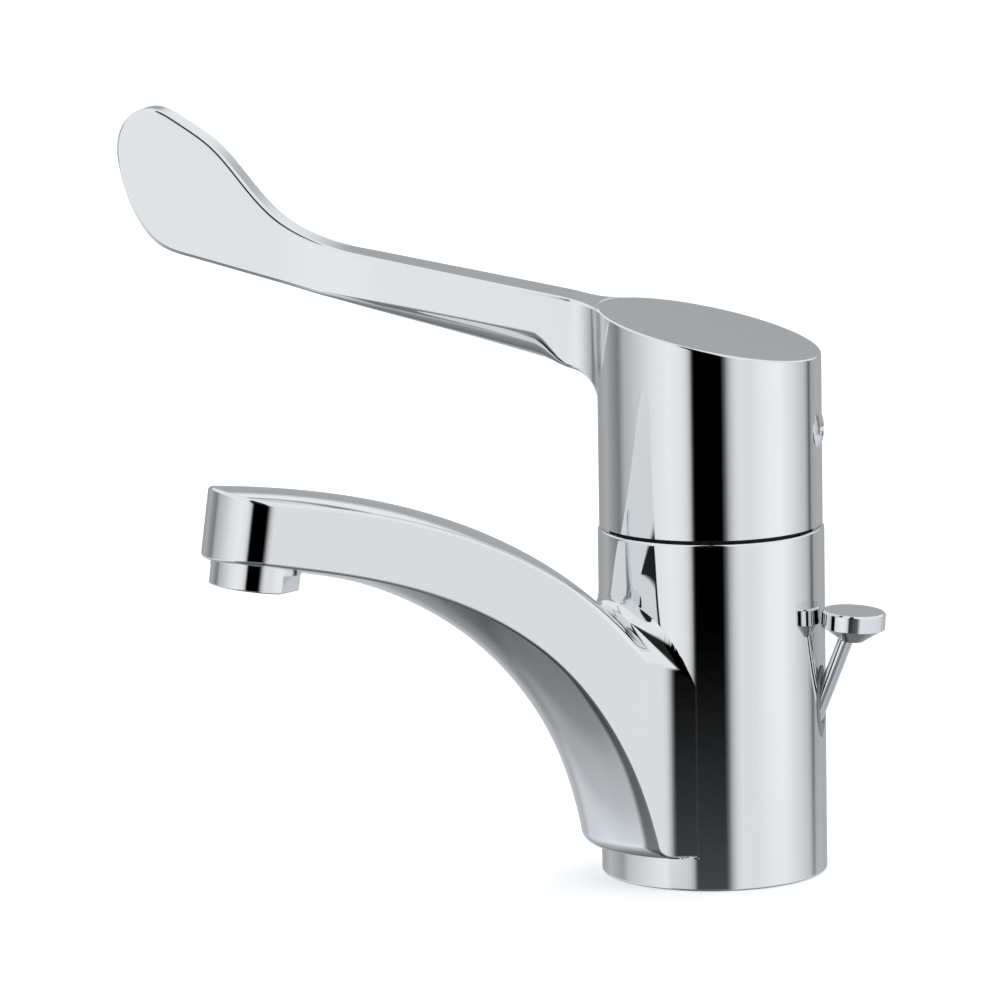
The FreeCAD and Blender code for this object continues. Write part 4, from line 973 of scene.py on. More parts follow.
def arm_patches(cap_round, edge_round, lower_round):
    """Arm and paddle: two faces, one band round the side outline, rounded edges, flared root.

    At the root both faces follow an arc that is tangent to the arm and to the cap. The
    rounding of the lower edge grows towards the root and is gone where the flare starts.
    """
    top, low, roots, rows_of_arm = arm_outline()
    rows = len(top)
    upper_soft = np.full(rows, edge_round)
    upper_soft[:roots] = np.linspace(cap_round, edge_round, roots)
    growth = np.clip((low[:, 0] - LOWER_ROUND_FROM) / (FLARE_Y - LOWER_ROUND_FROM), 0.0, 1.0)
    fading = 1.0 - eased(low[:, 0], *[FLARE_Y - before for before in LOWER_ROUND_GOES_BEFORE_FLARE])
    lower_soft = edge_round + (lower_round - edge_round) * growth ** LOWER_ROUND_POWER * fading
    trip = np.concatenate([top, low[::-1][1:]])
    soft = np.concatenate([upper_soft, lower_soft[::-1][1:]])[:, None]
    width, slope = side_at(trip[:, 0])
    bow = bow_at(trip[:, 0])[:, None]
    way = unit(np.gradient(trip, axis=0))
    out_of = np.column_stack([-way[:, 1], way[:, 0]])
    out_of = out_of * np.sign(out_of[0, 1])
    upright = eased(trip[:, 0], UPRIGHT_EDGES_FROM, FLARE_Y)[:, None]
    straight_up = np.column_stack([0.0 * width, np.where(np.arange(len(trip)) < rows, 1.0, -1.0)])
    inner = trip - unit(out_of * (1.0 - upright) + straight_up * upright) * soft
    inner_width, inner_slope = side_at(inner[:, 0])
    face_edge = np.column_stack([inner_width, inner])
    edge_normal = unit(np.column_stack([np.ones_like(inner_slope), -inner_slope, 0.0 * inner_slope]))
    columns = np.linspace(-1.0, 1.0, BAND_POINTS)[None, :]
    band_x = (width[:, None] - np.minimum(soft, ARM_LOWER_DEPTH)) * columns
    band_y = bowed(band_x, width[:, None], np.broadcast_to(trip[:, :1], band_x.shape), bow)
    band_z = np.broadcast_to(trip[:, 1:], band_x.shape)
    on_arm_top = np.arange(len(trip)) < rows_of_arm
    sunk = np.where(band_y > -CAP_RADIUS + cap_round, TOP_SUNK, 0.0)
    band_z = np.where(on_arm_top[:, None], arm_top(band_y) - sunk, band_z)
    band = np.stack([band_x, band_y, band_z], axis=-1)
    guess = np.stack([0.0 * band_x, np.broadcast_to(out_of[:, :1], band_x.shape),
                      np.broadcast_to(out_of[:, 1:], band_x.shape)], axis=-1)
    band_normals = grid_normals(band, guess)
    corner = np.column_stack([width, trip])
    edge_strip = strip(face_edge, corner, band[:, -1], edge_normal, band_normals[:, -1], ARM_ROUND_STEPS)
    share = np.linspace(0.0, 1.0, FACE_POINTS)[None, :, None]
    side_view = inner[:rows][:, None, :] * (1.0 - share) + inner[::-1][:rows][:, None, :] * share
    face_x, face_slope = side_at(side_view[..., 0])
    face = np.concatenate([face_x[..., None], side_view], axis=-1)
    face_normals = unit(np.stack([np.ones_like(face_slope), -face_slope, 0.0 * face_slope], axis=-1))
    sides = [edge_strip, (face, face_normals)]
    patches = [(band, band_normals)] + sides + [(p * MIRROR, n * MIRROR) for p, n in sides]
    top_edge = edge_strip[0][0]
    low_edge = edge_strip[0][-1]
    loop = np.concatenate([band[0], top_edge[::-1], face[0], low_edge, band[-1][::-1],
                           (low_edge * MIRROR)[::-1], (face[0] * MIRROR)[::-1], top_edge * MIRROR])
    centre = np.broadcast_to(loop.mean(axis=0) + BACKWARD * ARM_END_BULGE, loop.shape)
    closing = np.stack([loop, centre])
    patches.append((closing, np.broadcast_to(BACKWARD, closing.shape)))
    return patches


def to_lever(patches):
    """Patches drawn with the lever along -Y, turned to where the lever stands."""
    return [(turned(p, LEVER_TURN), turned(n, LEVER_TURN)) for p, n in patches]


def aerator_patches():
    """Sleeve whose radius falls to two wrench flats near its lower end.

    Over a flat the radius is half the width across flats divided by the cosine of the
    angle from the flat's middle, where that is less than the round radius.
    """
    flat_top = AERATOR_BOTTOM + FLAT_HEIGHT
    corners = [(AERATOR_BORE, AERATOR_TOP), (AERATOR_BORE, AERATOR_BOTTOM), (AERATOR_RADIUS, AERATOR_BOTTOM),
               (AERATOR_RADIUS, flat_top - FLAT_STEP), (AERATOR_RADIUS, flat_top),
               (AERATOR_RADIUS, AERATOR_TOP), (AERATOR_BORE, AERATOR_TOP)]
    radii = [AERATOR_BORE_ROUND, AERATOR_ROUND, 0.0, 0.0, AERATOR_TOP_ROUND]
    profile, normals = rounded_profile(corners, radii)
    reach = math.acos(FLAT_HALF_ACROSS / AERATOR_RADIUS)
    dense = np.linspace(0.0, 2.0 * np.pi, AERATOR_POINTS)
    shifts = (-FLAT_EDGE_TURN, FLAT_EDGE_TURN)
    edges = np.array([side + sign * reach + shift for side in (FLAT_TURN, FLAT_TURN + np.pi)
                      for sign in (-1.0, 1.0) for shift in shifts]) % (2.0 * np.pi)
    angle = np.unique(np.concatenate([dense, edges]))
    from_flat = (angle - FLAT_TURN + np.pi / 2.0) % np.pi - np.pi / 2.0
    on_flat = np.abs(from_flat) < reach
    flat_radius = np.where(on_flat, FLAT_HALF_ACROSS / np.cos(from_flat), AERATOR_RADIUS)
    low = (profile[:, 1] < flat_top - FLAT_STEP / 2.0) & (profile[:, 0] > AERATOR_BORE + FLAT_FROM_BORE)
    cut = (AERATOR_RADIUS - flat_radius)[None, :] * low[:, None]
    radius = profile[:, :1] - cut
    height = np.broadcast_to(profile[:, 1:], radius.shape)
    points = np.stack([radius * np.cos(angle), radius * np.sin(angle), height], axis=-1)
    points[:, -1] = points[:, 0]
    round_out = np.stack([np.cos(angle), np.sin(angle), 0.0 * angle], axis=-1)
    flat_angle = angle - from_flat
    flat_out = np.stack([np.cos(flat_angle), np.sin(flat_angle), 0.0 * angle], axis=-1)
    out = np.where((low[:, None] & on_flat[None, :])[..., None], flat_out[None], round_out[None])
    surface_normals = unit(out * normals[:, :1][..., None] + UP * normals[:, 1:][..., None])
    turn = Matrix.Translation((0.0, NOSE_Y, NOSE_HEIGHT)) @ Matrix.Rotation(-NOSE_TILT, 4, "X")
    drop = Matrix.Translation((0.0, 0.0, -NOSE_HEIGHT))
    return [placed((points, surface_normals), turn @ drop)]


def recess_depth(x, y, deepest):
    """Depth of a cross recess: the deeper of two slots whose walls slope in and ends fade out."""
    def slot_depth(along, across):
        """Share of the depth in one slot, from its distance along and across."""
        bottom, top = [RECESS_HALF_WIDTH * share for share in RECESS_WALL]
        side = 1.0 - eased(np.abs(across), bottom, top)
        end = 1.0 - eased(np.abs(along), RECESS_HALF_LENGTH * RECESS_END, RECESS_HALF_LENGTH)
        return side * end

    return deepest * np.maximum(slot_depth(x, y), slot_depth(y, x))


def screw_patches(deepest):
    """Screw head on the cap's rear: a dome on a round grid, sunk by the cross recess."""
    rise = SCREW_STAND + SCREW_RIM_INSET
    sphere = (SCREW_RADIUS ** 2 + rise ** 2) / (2.0 * rise)
    across = np.linspace(0.0, SCREW_RADIUS - SCREW_EDGE, SCREW_RINGS)
    angle = np.linspace(0.0, 2.0 * np.pi, SMALL_COUNT + 1)
    x = across[:, None] * np.cos(angle)
    y = across[:, None] * np.sin(angle)
    dome = SCREW_STAND - sphere + np.sqrt(sphere ** 2 - across ** 2)[:, None]
    z = dome - recess_depth(x, y, deepest)
    points = np.stack([x, y, z], axis=-1)
    step = RECESS_STEP
    slope_x = (recess_depth(x + step, y, deepest) - recess_depth(x - step, y, deepest)) / (2.0 * step)
    slope_y = (recess_depth(x, y + step, deepest) - recess_depth(x, y - step, deepest)) / (2.0 * step)
    fall = np.sqrt(sphere ** 2 - across ** 2)[:, None]
    normals = unit(np.stack([x / fall + slope_x, y / fall + slope_y, np.ones_like(x)], axis=-1))
    points[:, -1] = points[:, 0]
    rim_height = float(dome[-1, 0])
    corners = [(SCREW_RADIUS - SCREW_EDGE, rim_height), (SCREW_RADIUS, rim_height - SCREW_EDGE_DROP),
               (SCREW_RADIUS, -HEAD_SET_IN), (0.0, -HEAD_SET_IN)]
    profile, side = rounded_profile(corners, [SCREW_EDGE_ROUND, INNER_ROUND])
    skirt, skirt_normals = revolve(profile, side, SMALL_COUNT)
    place = Matrix.Translation((0.0, CAP_RADIUS, SCREW_HEIGHT)) @ Matrix.Rotation(-math.pi / 2.0, 4, "X")
    return to_lever([placed(p, place) for p in ((points, normals), (skirt, -skirt_normals))])


def button_patches(stand):
    """Small plain button in the front of the cap: a turned profile with a rounded rim."""
    corners = [(0.0, -HEAD_SET_IN), (BUTTON_RADIUS, -HEAD_SET_IN), (BUTTON_RADIUS, stand), (0.0, stand)]
    profile, normals = rounded_profile(corners, [INNER_ROUND, stand / 2.0])
    patch = revolve(profile, normals, BUTTON_COUNT)
    place = Matrix.Translation((0.0, -CAP_RADIUS, BUTTON_HEIGHT)) @ Matrix.Rotation(math.pi / 2.0, 4, "X")
    return to_lever([placed(patch, place)])


def rod_place():
    """Movement from an upright axis at the origin to the pull rod's leaning axis."""
    to_exit = Matrix.Translation((0.0, COLUMN_RADIUS, ROD_EXIT_HEIGHT))
    return Matrix.Rotation(ROD_TURN, 4, "Z") @ to_exit @ Matrix.Rotation(-ROD_LEAN, 4, "X")


def rod_patches():
    """Pull rod: a long turned profile with a rounded foot, on the leaning axis."""
    low = -(ROD_EXIT_HEIGHT - ROD_BOTTOM) / math.cos(ROD_LEAN)
    high = (KNOB_CONE_BOTTOM - ROD_EXIT_HEIGHT) / math.cos(ROD_LEAN) + ROD_IN_KNOB
    corners = [(0.0, low), (ROD_RADIUS, low), (ROD_RADIUS, high), (0.0, high)]
    profile, normals = rounded_profile(corners, [ROD_FOOT_ROUND, ROD_TOP_ROUND])
    return [placed(revolve(profile, normals, THIN_COUNT), rod_place())]


def bush_patches():
    """Guide bush: a sleeve on the rod's axis whose outer end follows the column, standing just proud.

    Each line of the sleeve ends where it meets a cylinder round the column's axis,
    found from the quadratic equation of a line and a circle in plan.
    """
    angle = np.linspace(0.0, 2.0 * np.pi, THIN_COUNT + 1)
    place = np.array(rod_place())
    axis = place[:3, 2]

    def ring_at(radius, along_of):
        """Ring of the sleeve, its points moved along the axis by a function of where they start."""
        local = np.stack([radius * np.cos(angle), radius * np.sin(angle), 0.0 * angle], axis=-1)
        base = local @ place[:3, :3].T + place[:3, 3]
        ring = base + along_of(base)[:, None] * axis
        ring[-1] = ring[0]
        return ring

    def outer_ring(radius, surface_radius):
        """Ring where the sleeve's lines meet a cylinder round the column's axis."""
        def along_of(base):
            """Larger solution of the quadratic equation."""
            a = axis[0] ** 2 + axis[1] ** 2
            b = 2.0 * (base[:, 0] * axis[0] + base[:, 1] * axis[1])
            c = base[:, 0] ** 2 + base[:, 1] ** 2 - surface_radius ** 2
            return (-b + np.sqrt(b * b - 4.0 * a * c)) / (2.0 * a)

        return ring_at(radius, along_of)

    def inner_ring(radius):
        """Ring at the sleeve's inner end."""
        return ring_at(radius, lambda base: np.full(len(base), -BUSH_DEPTH))

    proud = COLUMN_RADIUS + BUSH_STAND
    radial = np.stack([np.cos(angle), np.sin(angle), 0.0 * angle], axis=-1) @ place[:3, :3].T
    face_out = unit(outer_ring(BUSH_RADIUS - BUSH_FACE_INSET, proud) * np.array([1.0, 1.0, 0.0]))
    rows = [(inner_ring(BUSH_BORE), -radial),
            (outer_ring(BUSH_BORE, proud - BUSH_LEAD_DEPTH), -radial),
            (outer_ring(BUSH_BORE + BUSH_LEAD_IN, proud), face_out),
            (outer_ring(BUSH_RADIUS - BUSH_EDGE, proud), face_out),
            (outer_ring(BUSH_RADIUS, proud - BUSH_EDGE), radial),
            (inner_ring(BUSH_RADIUS), radial),
            (inner_ring(BUSH_BORE), -np.broadcast_to(axis, radial.shape))]
    points = np.stack([p for p, n in rows])
    normals = np.stack([n for p, n in rows])
    return [(points, normals)]


def knob_patches(bevel):
    """Round knob, leaning a little: a turned profile of cone, rim with a bevel, and top."""
    under = KNOB_TOP - KNOB_THICKNESS
    corners = [(0.0, KNOB_CONE_BOTTOM), (KNOB_CONE_RADIUS, KNOB_CONE_BOTTOM), (KNOB_CONE_TOP, under),
               (KNOB_RADIUS, under), (KNOB_RADIUS, KNOB_TOP - bevel), (KNOB_RADIUS - bevel, KNOB_TOP),
               (0.0, KNOB_TOP)]
    radii = [KNOB_CONE_FOOT_ROUND, KNOB_CONE_TOP_ROUND] + [KNOB_ROUND] * 3
    profile, normals = rounded_profile(corners, radii)
    lean = Matrix.Translation((0.0, KNOB_AXIS, KNOB_TOP)) @ Matrix.Rotation(-KNOB_LEAN, 4, "X")
    place = Matrix.Rotation(ROD_TURN, 4, "Z") @ lean @ Matrix.Translation((0.0, 0.0, -KNOB_TOP))
    return [placed(revolve(profile, normals, KNOB_COUNT), place)]


def new_material(name):
    """Node material as Blender makes it, with its tree and its Principled shader."""
    material = bpy.data.materials.new(name)
    material.use_nodes = True
    shader = material.node_tree.nodes["Principled BSDF"]
    return material, material.node_tree, shader


def surface_group(name, scale, detail):
    """Node group of uneven polish or grain: a broad noise gives a mask and a finer one a height."""
    group = bpy.data.node_groups.new(name, "ShaderNodeTree")
    group.interface.new_socket("Vector", in_out="INPUT", socket_type="NodeSocketVector")
    group.interface.new_socket("Mask", in_out="OUTPUT", socket_type="NodeSocketFloat")
    group.interface.new_socket("Height", in_out="OUTPUT", socket_type="NodeSocketFloat")
    nodes = group.nodes
    links = group.links
    start = nodes.new("NodeGroupInput")
    end = nodes.new("NodeGroupOutput")
    for fineness, result in ((1.0, "Mask"), (RELIEF_FINENESS, "Height")):
        noise = nodes.new("ShaderNodeTexNoise")
        noise.inputs["Scale"].default_value = scale * fineness
        noise.inputs["Detail"].default_value = detail
        links.new(start.outputs["Vector"], noise.inputs["Vector"])
        links.new(noise.outputs["Fac"], end.inputs[result])
    return group


def feed(links, socket, value):
    """Give a socket its value: a link where the value is a socket itself, else a setting."""
    if isinstance(value, bpy.types.NodeSocket):
        links.new(value, socket)
    else:
        socket.default_value = value


def add_colour_mix(nodes, links, share, first, second, blend="MIX"):
    """Mix of two colours by a share, returning its result."""
    node = nodes.new("ShaderNodeMix")
    node.data_type = "RGBA"
    node.blend_type = blend
    feed(links, node.inputs[MIX_SHARE], share)
    feed(links, node.inputs[MIX_FIRST], first)
    feed(links, node.inputs[MIX_SECOND], second)
    return node.outputs[MIX_RESULT]


def finish_material(name, group, colour, spread, metallic, rough_low, rough_high, bump):
    """Material whose colour and roughness wander between two values, with a slight bump."""
    material, tree, shader = new_material(name)
    nodes = tree.nodes
    links = tree.links
    place = nodes.new("ShaderNodeTexCoord")
    uneven = nodes.new("ShaderNodeGroup")
    uneven.node_tree = group
    links.new(place.outputs["Object"], uneven.inputs["Vector"])
    darker = (*[part * (1.0 - spread) for part in colour], 1.0)
    tint = add_colour_mix(nodes, links, uneven.outputs["Mask"], (*colour, 1.0), darker)
    links.new(tint, shader.inputs["Base Color"])
    rough = nodes.new("ShaderNodeMapRange")
    rough.inputs["To Min"].default_value = rough_low
    rough.inputs["To Max"].default_value = rough_high
    links.new(uneven.outputs["Mask"], rough.inputs["Value"])
    links.new(rough.outputs["Result"], shader.inputs["Roughness"])
    relief = nodes.new("ShaderNodeBump")
    relief.inputs["Strength"].default_value = 1.0
    relief.inputs["Distance"].default_value = bump
    links.new(uneven.outputs["Height"], relief.inputs["Height"])
    links.new(relief.outputs["Normal"], shader.inputs["Normal"])
    shader.inputs["Metallic"].default_value = metallic
    return material


def size_setting(name, description, size):
    """Length property whose default is a size in millimetres."""
    return bpy.props.FloatProperty(name=name, description=description, default=size * MM, min=0.0,
                                   precision=5, subtype="DISTANCE", unit="LENGTH")


def colour_setting(name, description, colour):
    """Colour property with its default."""
    return bpy.props.FloatVectorProperty(name=name, description=description, default=colour,
                                         subtype="COLOR", min=0.0, max=1.0)


class TapBodySettings(bpy.types.PropertyGroup):
    """Sizes of the body that a user would change."""
    upper_round: size_setting("Spout upper edges", "Rounding between the spout's top and sides",
                              UPPER_EDGE_ROUND)
    lower_round: size_setting("Spout lower edges", "Rounding between the spout's sides and belly",
                              LOWER_EDGE_ROUND)
    top_round: size_setting("Column rim", "Rounding of the column's upper rim", COLUMN_TOP_ROUND)


class TapLeverSettings(bpy.types.PropertyGroup):
    """Sizes of the lever that a user would change."""
    cap_round: size_setting("Cap rim", "Rounding round the cap's slanted top", CAP_EDGE_ROUND)
    edge_round: size_setting("Arm edges", "Rounding of the arm's and the paddle's edges", ARM_EDGE_ROUND)
    lower_round: size_setting("Arm root", "Rounding of the arm's lower edge near its root", ARM_LOWER_ROUND)
    recess: size_setting("Screw recess", "Depth of the cross in the screw's head", RECESS_DEPTH)
    button_stand: size_setting("Button", "How far the index button stands out of the cap", BUTTON_STAND)


class TapKnobSettings(bpy.types.PropertyGroup):
    """Size of the pull knob that a user would change."""
    bevel: size_setting("Knob bevel", "Bevel round the knob's top", KNOB_BEVEL)


class TapFinishSettings(bpy.types.PropertyGroup):
    """Colours of the finishes."""
    chrome: colour_setting("Chrome", "Colour of the chrome plating", (0.80, 0.82, 0.83))
    steel: colour_setting("Steel", "Colour of the plain steel parts", (0.55, 0.55, 0.54))
    brass: colour_setting("Brass", "Colour of the bare brass parts", (0.72, 0.53, 0.26))
    rubber: colour_setting("Rubber", "Colour of the seals", (0.02, 0.02, 0.02))
    black: colour_setting("Black plastic", "Colour of the black plastic parts", (0.03, 0.03, 0.032))
    grey: colour_setting("Grey plastic", "Colour of the grey plastic parts", (0.30, 0.31, 0.32))
    white: colour_setting("White plastic", "Colour of the white plastic parts", (0.80, 0.80, 0.78))
    red: colour_setting("Red plastic", "Colour of the red plastic parts", (0.55, 0.03, 0.02))
    ceramic: colour_setting("Ceramic", "Colour of the ceramic discs", (0.86, 0.85, 0.80))
    floor: colour_setting("Floor", "Colour of the floor", (0.92, 0.92, 0.92))


def finish(name):
    """Material of that name, which the finishes operator has made."""
    return bpy.data.materials[name]


class TAP_OT_finishes(bpy.types.Operator):
    """Make the materials and give the solid model's own pieces theirs"""
    bl_idname = "tap.finishes"
    bl_label = "Finishes"

    def execute(self, context):
        settings = context.scene.tap_finish
        groups = {name: surface_group(name, *values) for name, values in UNEVENNESS.items()}
        for name, word, setting, unevenness, *values in FINISHES:
            finish_material(name, groups[unevenness], getattr(settings, setting), *values)
        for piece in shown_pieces():
            for own in piece.material_slots:
                known = own.material.name if own.material else ""
                found = [row[0] for row in FINISHES if row[1] in known]
                if not found:
                    raise RuntimeError("no finish for " + piece.name + " " + known)
                own.material = finish(found[0])
        return {"FINISHED"}


class TAP_OT_body(bpy.types.Operator):
    """Build the column and the spout"""
    bl_idname = "tap.body"
    bl_label = "Body"

    def execute(self, context):
        sizes = context.scene.tap_body
        chrome = finish("Chrome plate")
        holes, disc = underside()
        column = column_patches(sizes.top_round / MM)
        spout = spout_patches(sizes.upper_round / MM, sizes.lower_round / MM)
        make_piece("column", column + holes, "tap_body", chrome, ["mixer_body"], disc)
        make_piece("spout", spout, "tap_body", chrome, ["mixer_body"])
        return {"FINISHED"}


class TAP_OT_aerator(bpy.types.Operator):
    """Build the aerator's sleeve"""
    bl_idname = "tap.aerator"
    bl_label = "Aerator"

    def execute(self, context):
        make_piece("aerator_sleeve", aerator_patches(), "tap_body", finish("Chrome plate"),
                   ["aerator_housing"])
        return {"FINISHED"}


class TAP_OT_lever(bpy.types.Operator):
    """Build the cap, the arm, the screw and the button"""
    bl_idname = "tap.lever"
    bl_label = "Lever"

    def execute(self, context):
        sizes = context.scene.tap_lever
        cap_round = sizes.cap_round / MM
        chrome = finish("Chrome plate")
        cap = cap_patches(cap_round)
        arm = arm_patches(cap_round, sizes.edge_round / MM, sizes.lower_round / MM)
        make_piece("lever_cap", to_lever(cap), "lever", chrome, ["handle"])
        make_piece("lever_arm", to_lever(arm), "lever", chrome, ["handle"])
        screw = screw_patches(sizes.recess / MM)
        button = button_patches(sizes.button_stand / MM)
        make_piece("lever_screw", screw, "lever", chrome, ["handle_screw"])
        make_piece("lever_button", button, "lever", chrome, ["index_button"])
        return {"FINISHED"}


class TAP_OT_pull_rod(bpy.types.Operator):
    """Build the pull rod, its guide bush and its knob"""
    bl_idname = "tap.pull_rod"
    bl_label = "Pull rod"

    def execute(self, context):
        chrome = finish("Chrome plate")
        knob = knob_patches(context.scene.tap_knob.bevel / MM)
        make_piece("pull_rod", rod_patches(), "lift_rod", chrome, ["lift_rod"])
        make_piece("pull_knob", knob, "lift_rod", chrome, ["lift_knob"])
        make_piece("guide_bush", bush_patches(), "tap_body", finish("Grey plastic"),
                   ["rod_guide_bush"])
        return {"FINISHED"}


def camera_axes():
    """Directions: to the camera's right, and from the object back to the camera, level and tilted."""
    azimuth = math.radians(CAMERA_AZIMUTH)
    elevation = math.radians(CAMERA_ELEVATION)
    right = Vector((math.cos(azimuth), math.sin(azimuth), 0.0))
    level = Vector((math.sin(azimuth), -math.cos(azimuth), 0.0))
    back = level * math.cos(elevation) + Vector((0.0, 0.0, math.sin(elevation)))
    return right, level, back


def add_camera():
    """Camera of the photograph, leaning a little to its right."""
    right, level, back = camera_axes()
    up = back.cross(right)
    roll = math.radians(CAMERA_ROLL)
    leaning_up = up * math.cos(roll) + right * math.sin(roll)
    leaning_right = right * math.cos(roll) - up * math.sin(roll)
    aim = right * AIM_RIGHT + Vector((0.0, 0.0, AIM_HEIGHT))
    data = bpy.data.cameras.new("Camera")
    data.sensor_width = CAMERA_SENSOR
    data.lens = CAMERA_LENS
    data.clip_start = CAMERA_NEAR
    data.clip_end = CAMERA_FAR
    camera = bpy.data.objects.new("Camera", data)
    place = Matrix((leaning_right, leaning_up, back)).transposed().to_4x4()
    place.translation = aim + back * CAMERA_DISTANCE
    camera.matrix_world = place
    bpy.context.scene.collection.objects.link(camera)
    bpy.context.scene.camera = camera


def add_math(nodes, links, operation, first, second):
    """Math node between sockets or numbers, returning its result."""
    node = nodes.new("ShaderNodeMath")
    node.operation = operation
    feed(links, node.inputs[0], first)
    feed(links, node.inputs[1], second)
    return node.outputs[0]


def add_part_along(nodes, links, x, y, direction):
    """How far (x, y) reaches along a level direction: the sum of the products of their parts."""
    parts = [add_math(nodes, links, "MULTIPLY", x, direction.x),
             add_math(nodes, links, "MULTIPLY", y, direction.y)]
    return add_math(nodes, links, "ADD", *parts)


def add_ramp(nodes, stops, low, high):
    """Colour ramp with cool grey stops placed by value between low and high."""
    ramp = nodes.new("ShaderNodeValToRGB")
    ramp.color_ramp.interpolation = "LINEAR"
    while len(ramp.color_ramp.elements) < len(stops):
        ramp.color_ramp.elements.new(0.5)
    for element, (value, strength) in zip(ramp.color_ramp.elements, stops):
        element.position = (value - low) / (high - low)
        element.color = (*[strength * part for part in COOL_TINT], 1.0)
    return ramp


def add_blend(nodes, links, value, limits, first, second):
    """Mix of two colours, the second reached as the value goes from one limit to the other."""
    share = nodes.new("ShaderNodeMapRange")
    share.interpolation_type = "SMOOTHSTEP"
    share.inputs["From Min"].default_value = limits[0]
    share.inputs["From Max"].default_value = limits[1]
    links.new(value, share.inputs["Value"])
    return add_colour_mix(nodes, links, share.outputs["Result"], first, second)


def add_world():
    """Studio seen by the chrome: white panels at both sides, a dark gap behind the camera, grey ones
    behind the tap.

    The direction's angle round the camera's axis picks the panel from a ramp. High
    directions fade to the overhead panels, and low ones to the floor, which darkens
    towards the object's foot. The camera itself sees plain white.
    """
    world = bpy.data.worlds.new("Studio")
    bpy.context.scene.world = world
    world.use_nodes = True
    nodes = world.node_tree.nodes
    links = world.node_tree.links
    nodes.clear()
    right, level, back = camera_axes()
    place = nodes.new("ShaderNodeTexCoord")
    apart = nodes.new("ShaderNodeSeparateXYZ")
    links.new(place.outputs["Generated"], apart.inputs[0])
    x, y, z = apart.outputs[0], apart.outputs[1], apart.outputs[2]
    aside = add_part_along(nodes, links, x, y, right)
    toward = add_part_along(nodes, links, x, y, level)
    angle = add_math(nodes, links, "ARCTAN2", aside, toward)
    way = add_math(nodes, links, "ADD", add_math(nodes, links, "DIVIDE", angle, 2.0 * math.pi), 0.5)
    ramps = [add_ramp(nodes, stops, -180.0, 180.0) for stops in (ROUND_STOPS, HIGH_STOPS, LOW_STOPS)]
    for ramp in ramps:
        links.new(way, ramp.inputs["Fac"])
    around, high, low = [ramp.outputs["Color"] for ramp in ramps]
    half = add_math(nodes, links, "MULTIPLY", z, 0.5)
    fall = add_ramp(nodes, FALL_STOPS, -1.0, 1.0)
    links.new(add_math(nodes, links, "ADD", half, 0.5), fall.inputs["Fac"])
    floor = add_colour_mix(nodes, links, 1.0, fall.outputs["Color"], low, "MULTIPLY")
    upper = add_blend(nodes, links, z, OVERHEAD_COMES, around, high)
    lower = add_blend(nodes, links, z, FLOOR_COMES, upper, floor)
    studio = nodes.new("ShaderNodeBackground")
    links.new(lower, studio.inputs["Color"])
    plain = nodes.new("ShaderNodeBackground")
    plain.inputs["Color"].default_value = WHITE
    path = nodes.new("ShaderNodeLightPath")
    mix = nodes.new("ShaderNodeMixShader")
    links.new(path.outputs["Is Camera Ray"], mix.inputs["Fac"])
    links.new(studio.outputs[0], mix.inputs[1])
    links.new(plain.outputs[0], mix.inputs[2])
    end = nodes.new("ShaderNodeOutputWorld")
    links.new(mix.outputs[0], end.inputs["Surface"])


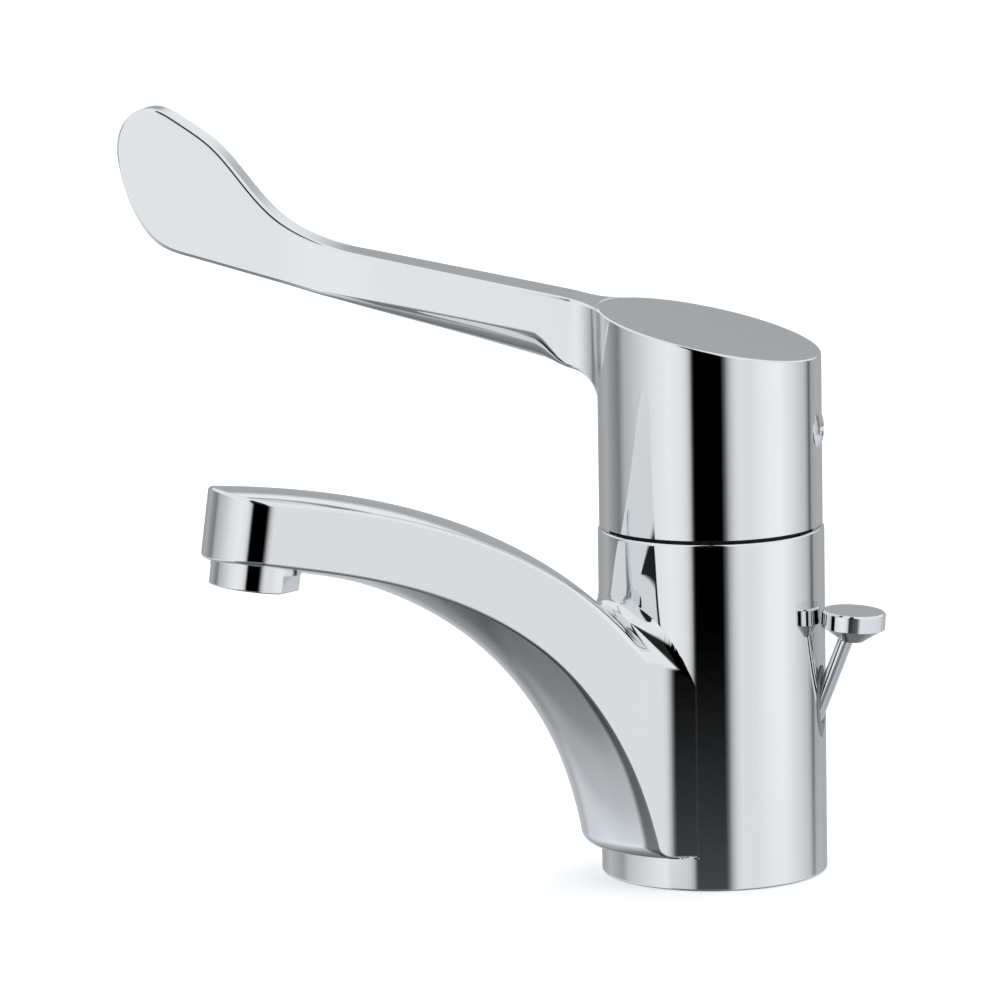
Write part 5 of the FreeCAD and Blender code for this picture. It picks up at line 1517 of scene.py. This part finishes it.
def add_floor(colour):
    """Pale floor: a round sheet that keeps the tap's shadow and lets reflections see the studio."""
    angle = np.linspace(0.0, 2.0 * np.pi, FLOOR_CORNERS + 1)[:-1]
    ring = np.stack([FLOOR_RADIUS * np.cos(angle), FLOOR_RADIUS * np.sin(angle),
                     np.full(FLOOR_CORNERS, -FLOOR_DROP)], axis=-1)
    mesh = bpy.data.meshes.new("floor")
    mesh.from_pydata(ring.tolist(), [], [list(range(len(ring)))])
    floor = bpy.data.objects.new("floor", mesh)
    bpy.context.scene.collection.objects.link(floor)
    material, tree, shader = new_material("Pale floor")
    nodes = tree.nodes
    links = tree.links
    shader.inputs["Base Color"].default_value = (*colour, 1.0)
    shader.inputs["Roughness"].default_value = FLOOR_ROUGHNESS
    shader.inputs["Specular IOR Level"].default_value = 0.0
    glow = nodes.new("ShaderNodeEmission")
    glow.inputs["Color"].default_value = WHITE
    glow.inputs["Strength"].default_value = FLOOR_GLOW
    both = nodes.new("ShaderNodeAddShader")
    path = nodes.new("ShaderNodeLightPath")
    pick = nodes.new("ShaderNodeMixShader")
    links.new(shader.outputs[0], both.inputs[0])
    links.new(glow.outputs[0], both.inputs[1])
    links.new(path.outputs["Is Camera Ray"], pick.inputs["Fac"])
    links.new(shader.outputs[0], pick.inputs[1])
    links.new(both.outputs[0], pick.inputs[2])
    clear = nodes.new("ShaderNodeBsdfTransparent")
    seen = nodes.new("ShaderNodeMixShader")
    links.new(path.outputs["Is Glossy Ray"], seen.inputs["Fac"])
    links.new(pick.outputs[0], seen.inputs[1])
    links.new(clear.outputs[0], seen.inputs[2])
    links.new(seen.outputs[0], nodes["Material Output"].inputs["Surface"])
    mesh.materials.append(material)
    floor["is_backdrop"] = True


class TAP_OT_studio(bpy.types.Operator):
    """Add the camera, the floor and the light"""
    bl_idname = "tap.studio"
    bl_label = "Studio"

    def execute(self, context):
        add_camera()
        add_world()
        add_floor(tuple(context.scene.tap_finish.floor))
        context.scene.view_settings.view_transform = "Standard"
        return {"FINISHED"}


class TAP_PT_panel(bpy.types.Panel):
    """Sidebar panel that lists the steps"""
    bl_idname = "TAP_PT_panel"
    bl_label = "Mixer Tap"
    bl_space_type = "VIEW_3D"
    bl_region_type = "UI"
    bl_category = "Mixer Tap"

    def draw(self, context):
        layout = self.layout
        for label, name in SETTINGS:
            group = getattr(context.scene, name)
            layout.label(text=label)
            for place in group.bl_rna.properties.keys():
                if place not in ("rna_type", "name"):
                    layout.prop(group, place)
        for step in STEPS:
            layout.operator(step.bl_idname)


STEPS = (TAP_OT_finishes, TAP_OT_body, TAP_OT_aerator, TAP_OT_lever, TAP_OT_pull_rod, TAP_OT_studio)
GROUPS = (TapBodySettings, TapLeverSettings, TapKnobSettings, TapFinishSettings)
SETTINGS = (("Body", "tap_body"), ("Lever", "tap_lever"), ("Knob", "tap_knob"), ("Finish", "tap_finish"))
CLASSES = GROUPS + STEPS + (TAP_PT_panel,)


def register():
    """Register the classes and their settings."""
    for item in CLASSES:
        bpy.utils.register_class(item)
    for (label, name), group in zip(SETTINGS, GROUPS):
        setattr(bpy.types.Scene, name, bpy.props.PointerProperty(type=group))


def unregister():
    """Remove the settings and the classes."""
    for label, name in SETTINGS:
        delattr(bpy.types.Scene, name)
    for item in reversed(CLASSES):
        bpy.utils.unregister_class(item)


def main():
    """Run the steps in order."""
    register()
    bpy.ops.tap.finishes()
    bpy.ops.tap.body()
    bpy.ops.tap.aerator()
    bpy.ops.tap.lever()
    bpy.ops.tap.pull_rod()
    bpy.ops.tap.studio()


if __name__ == "__main__":
    main()
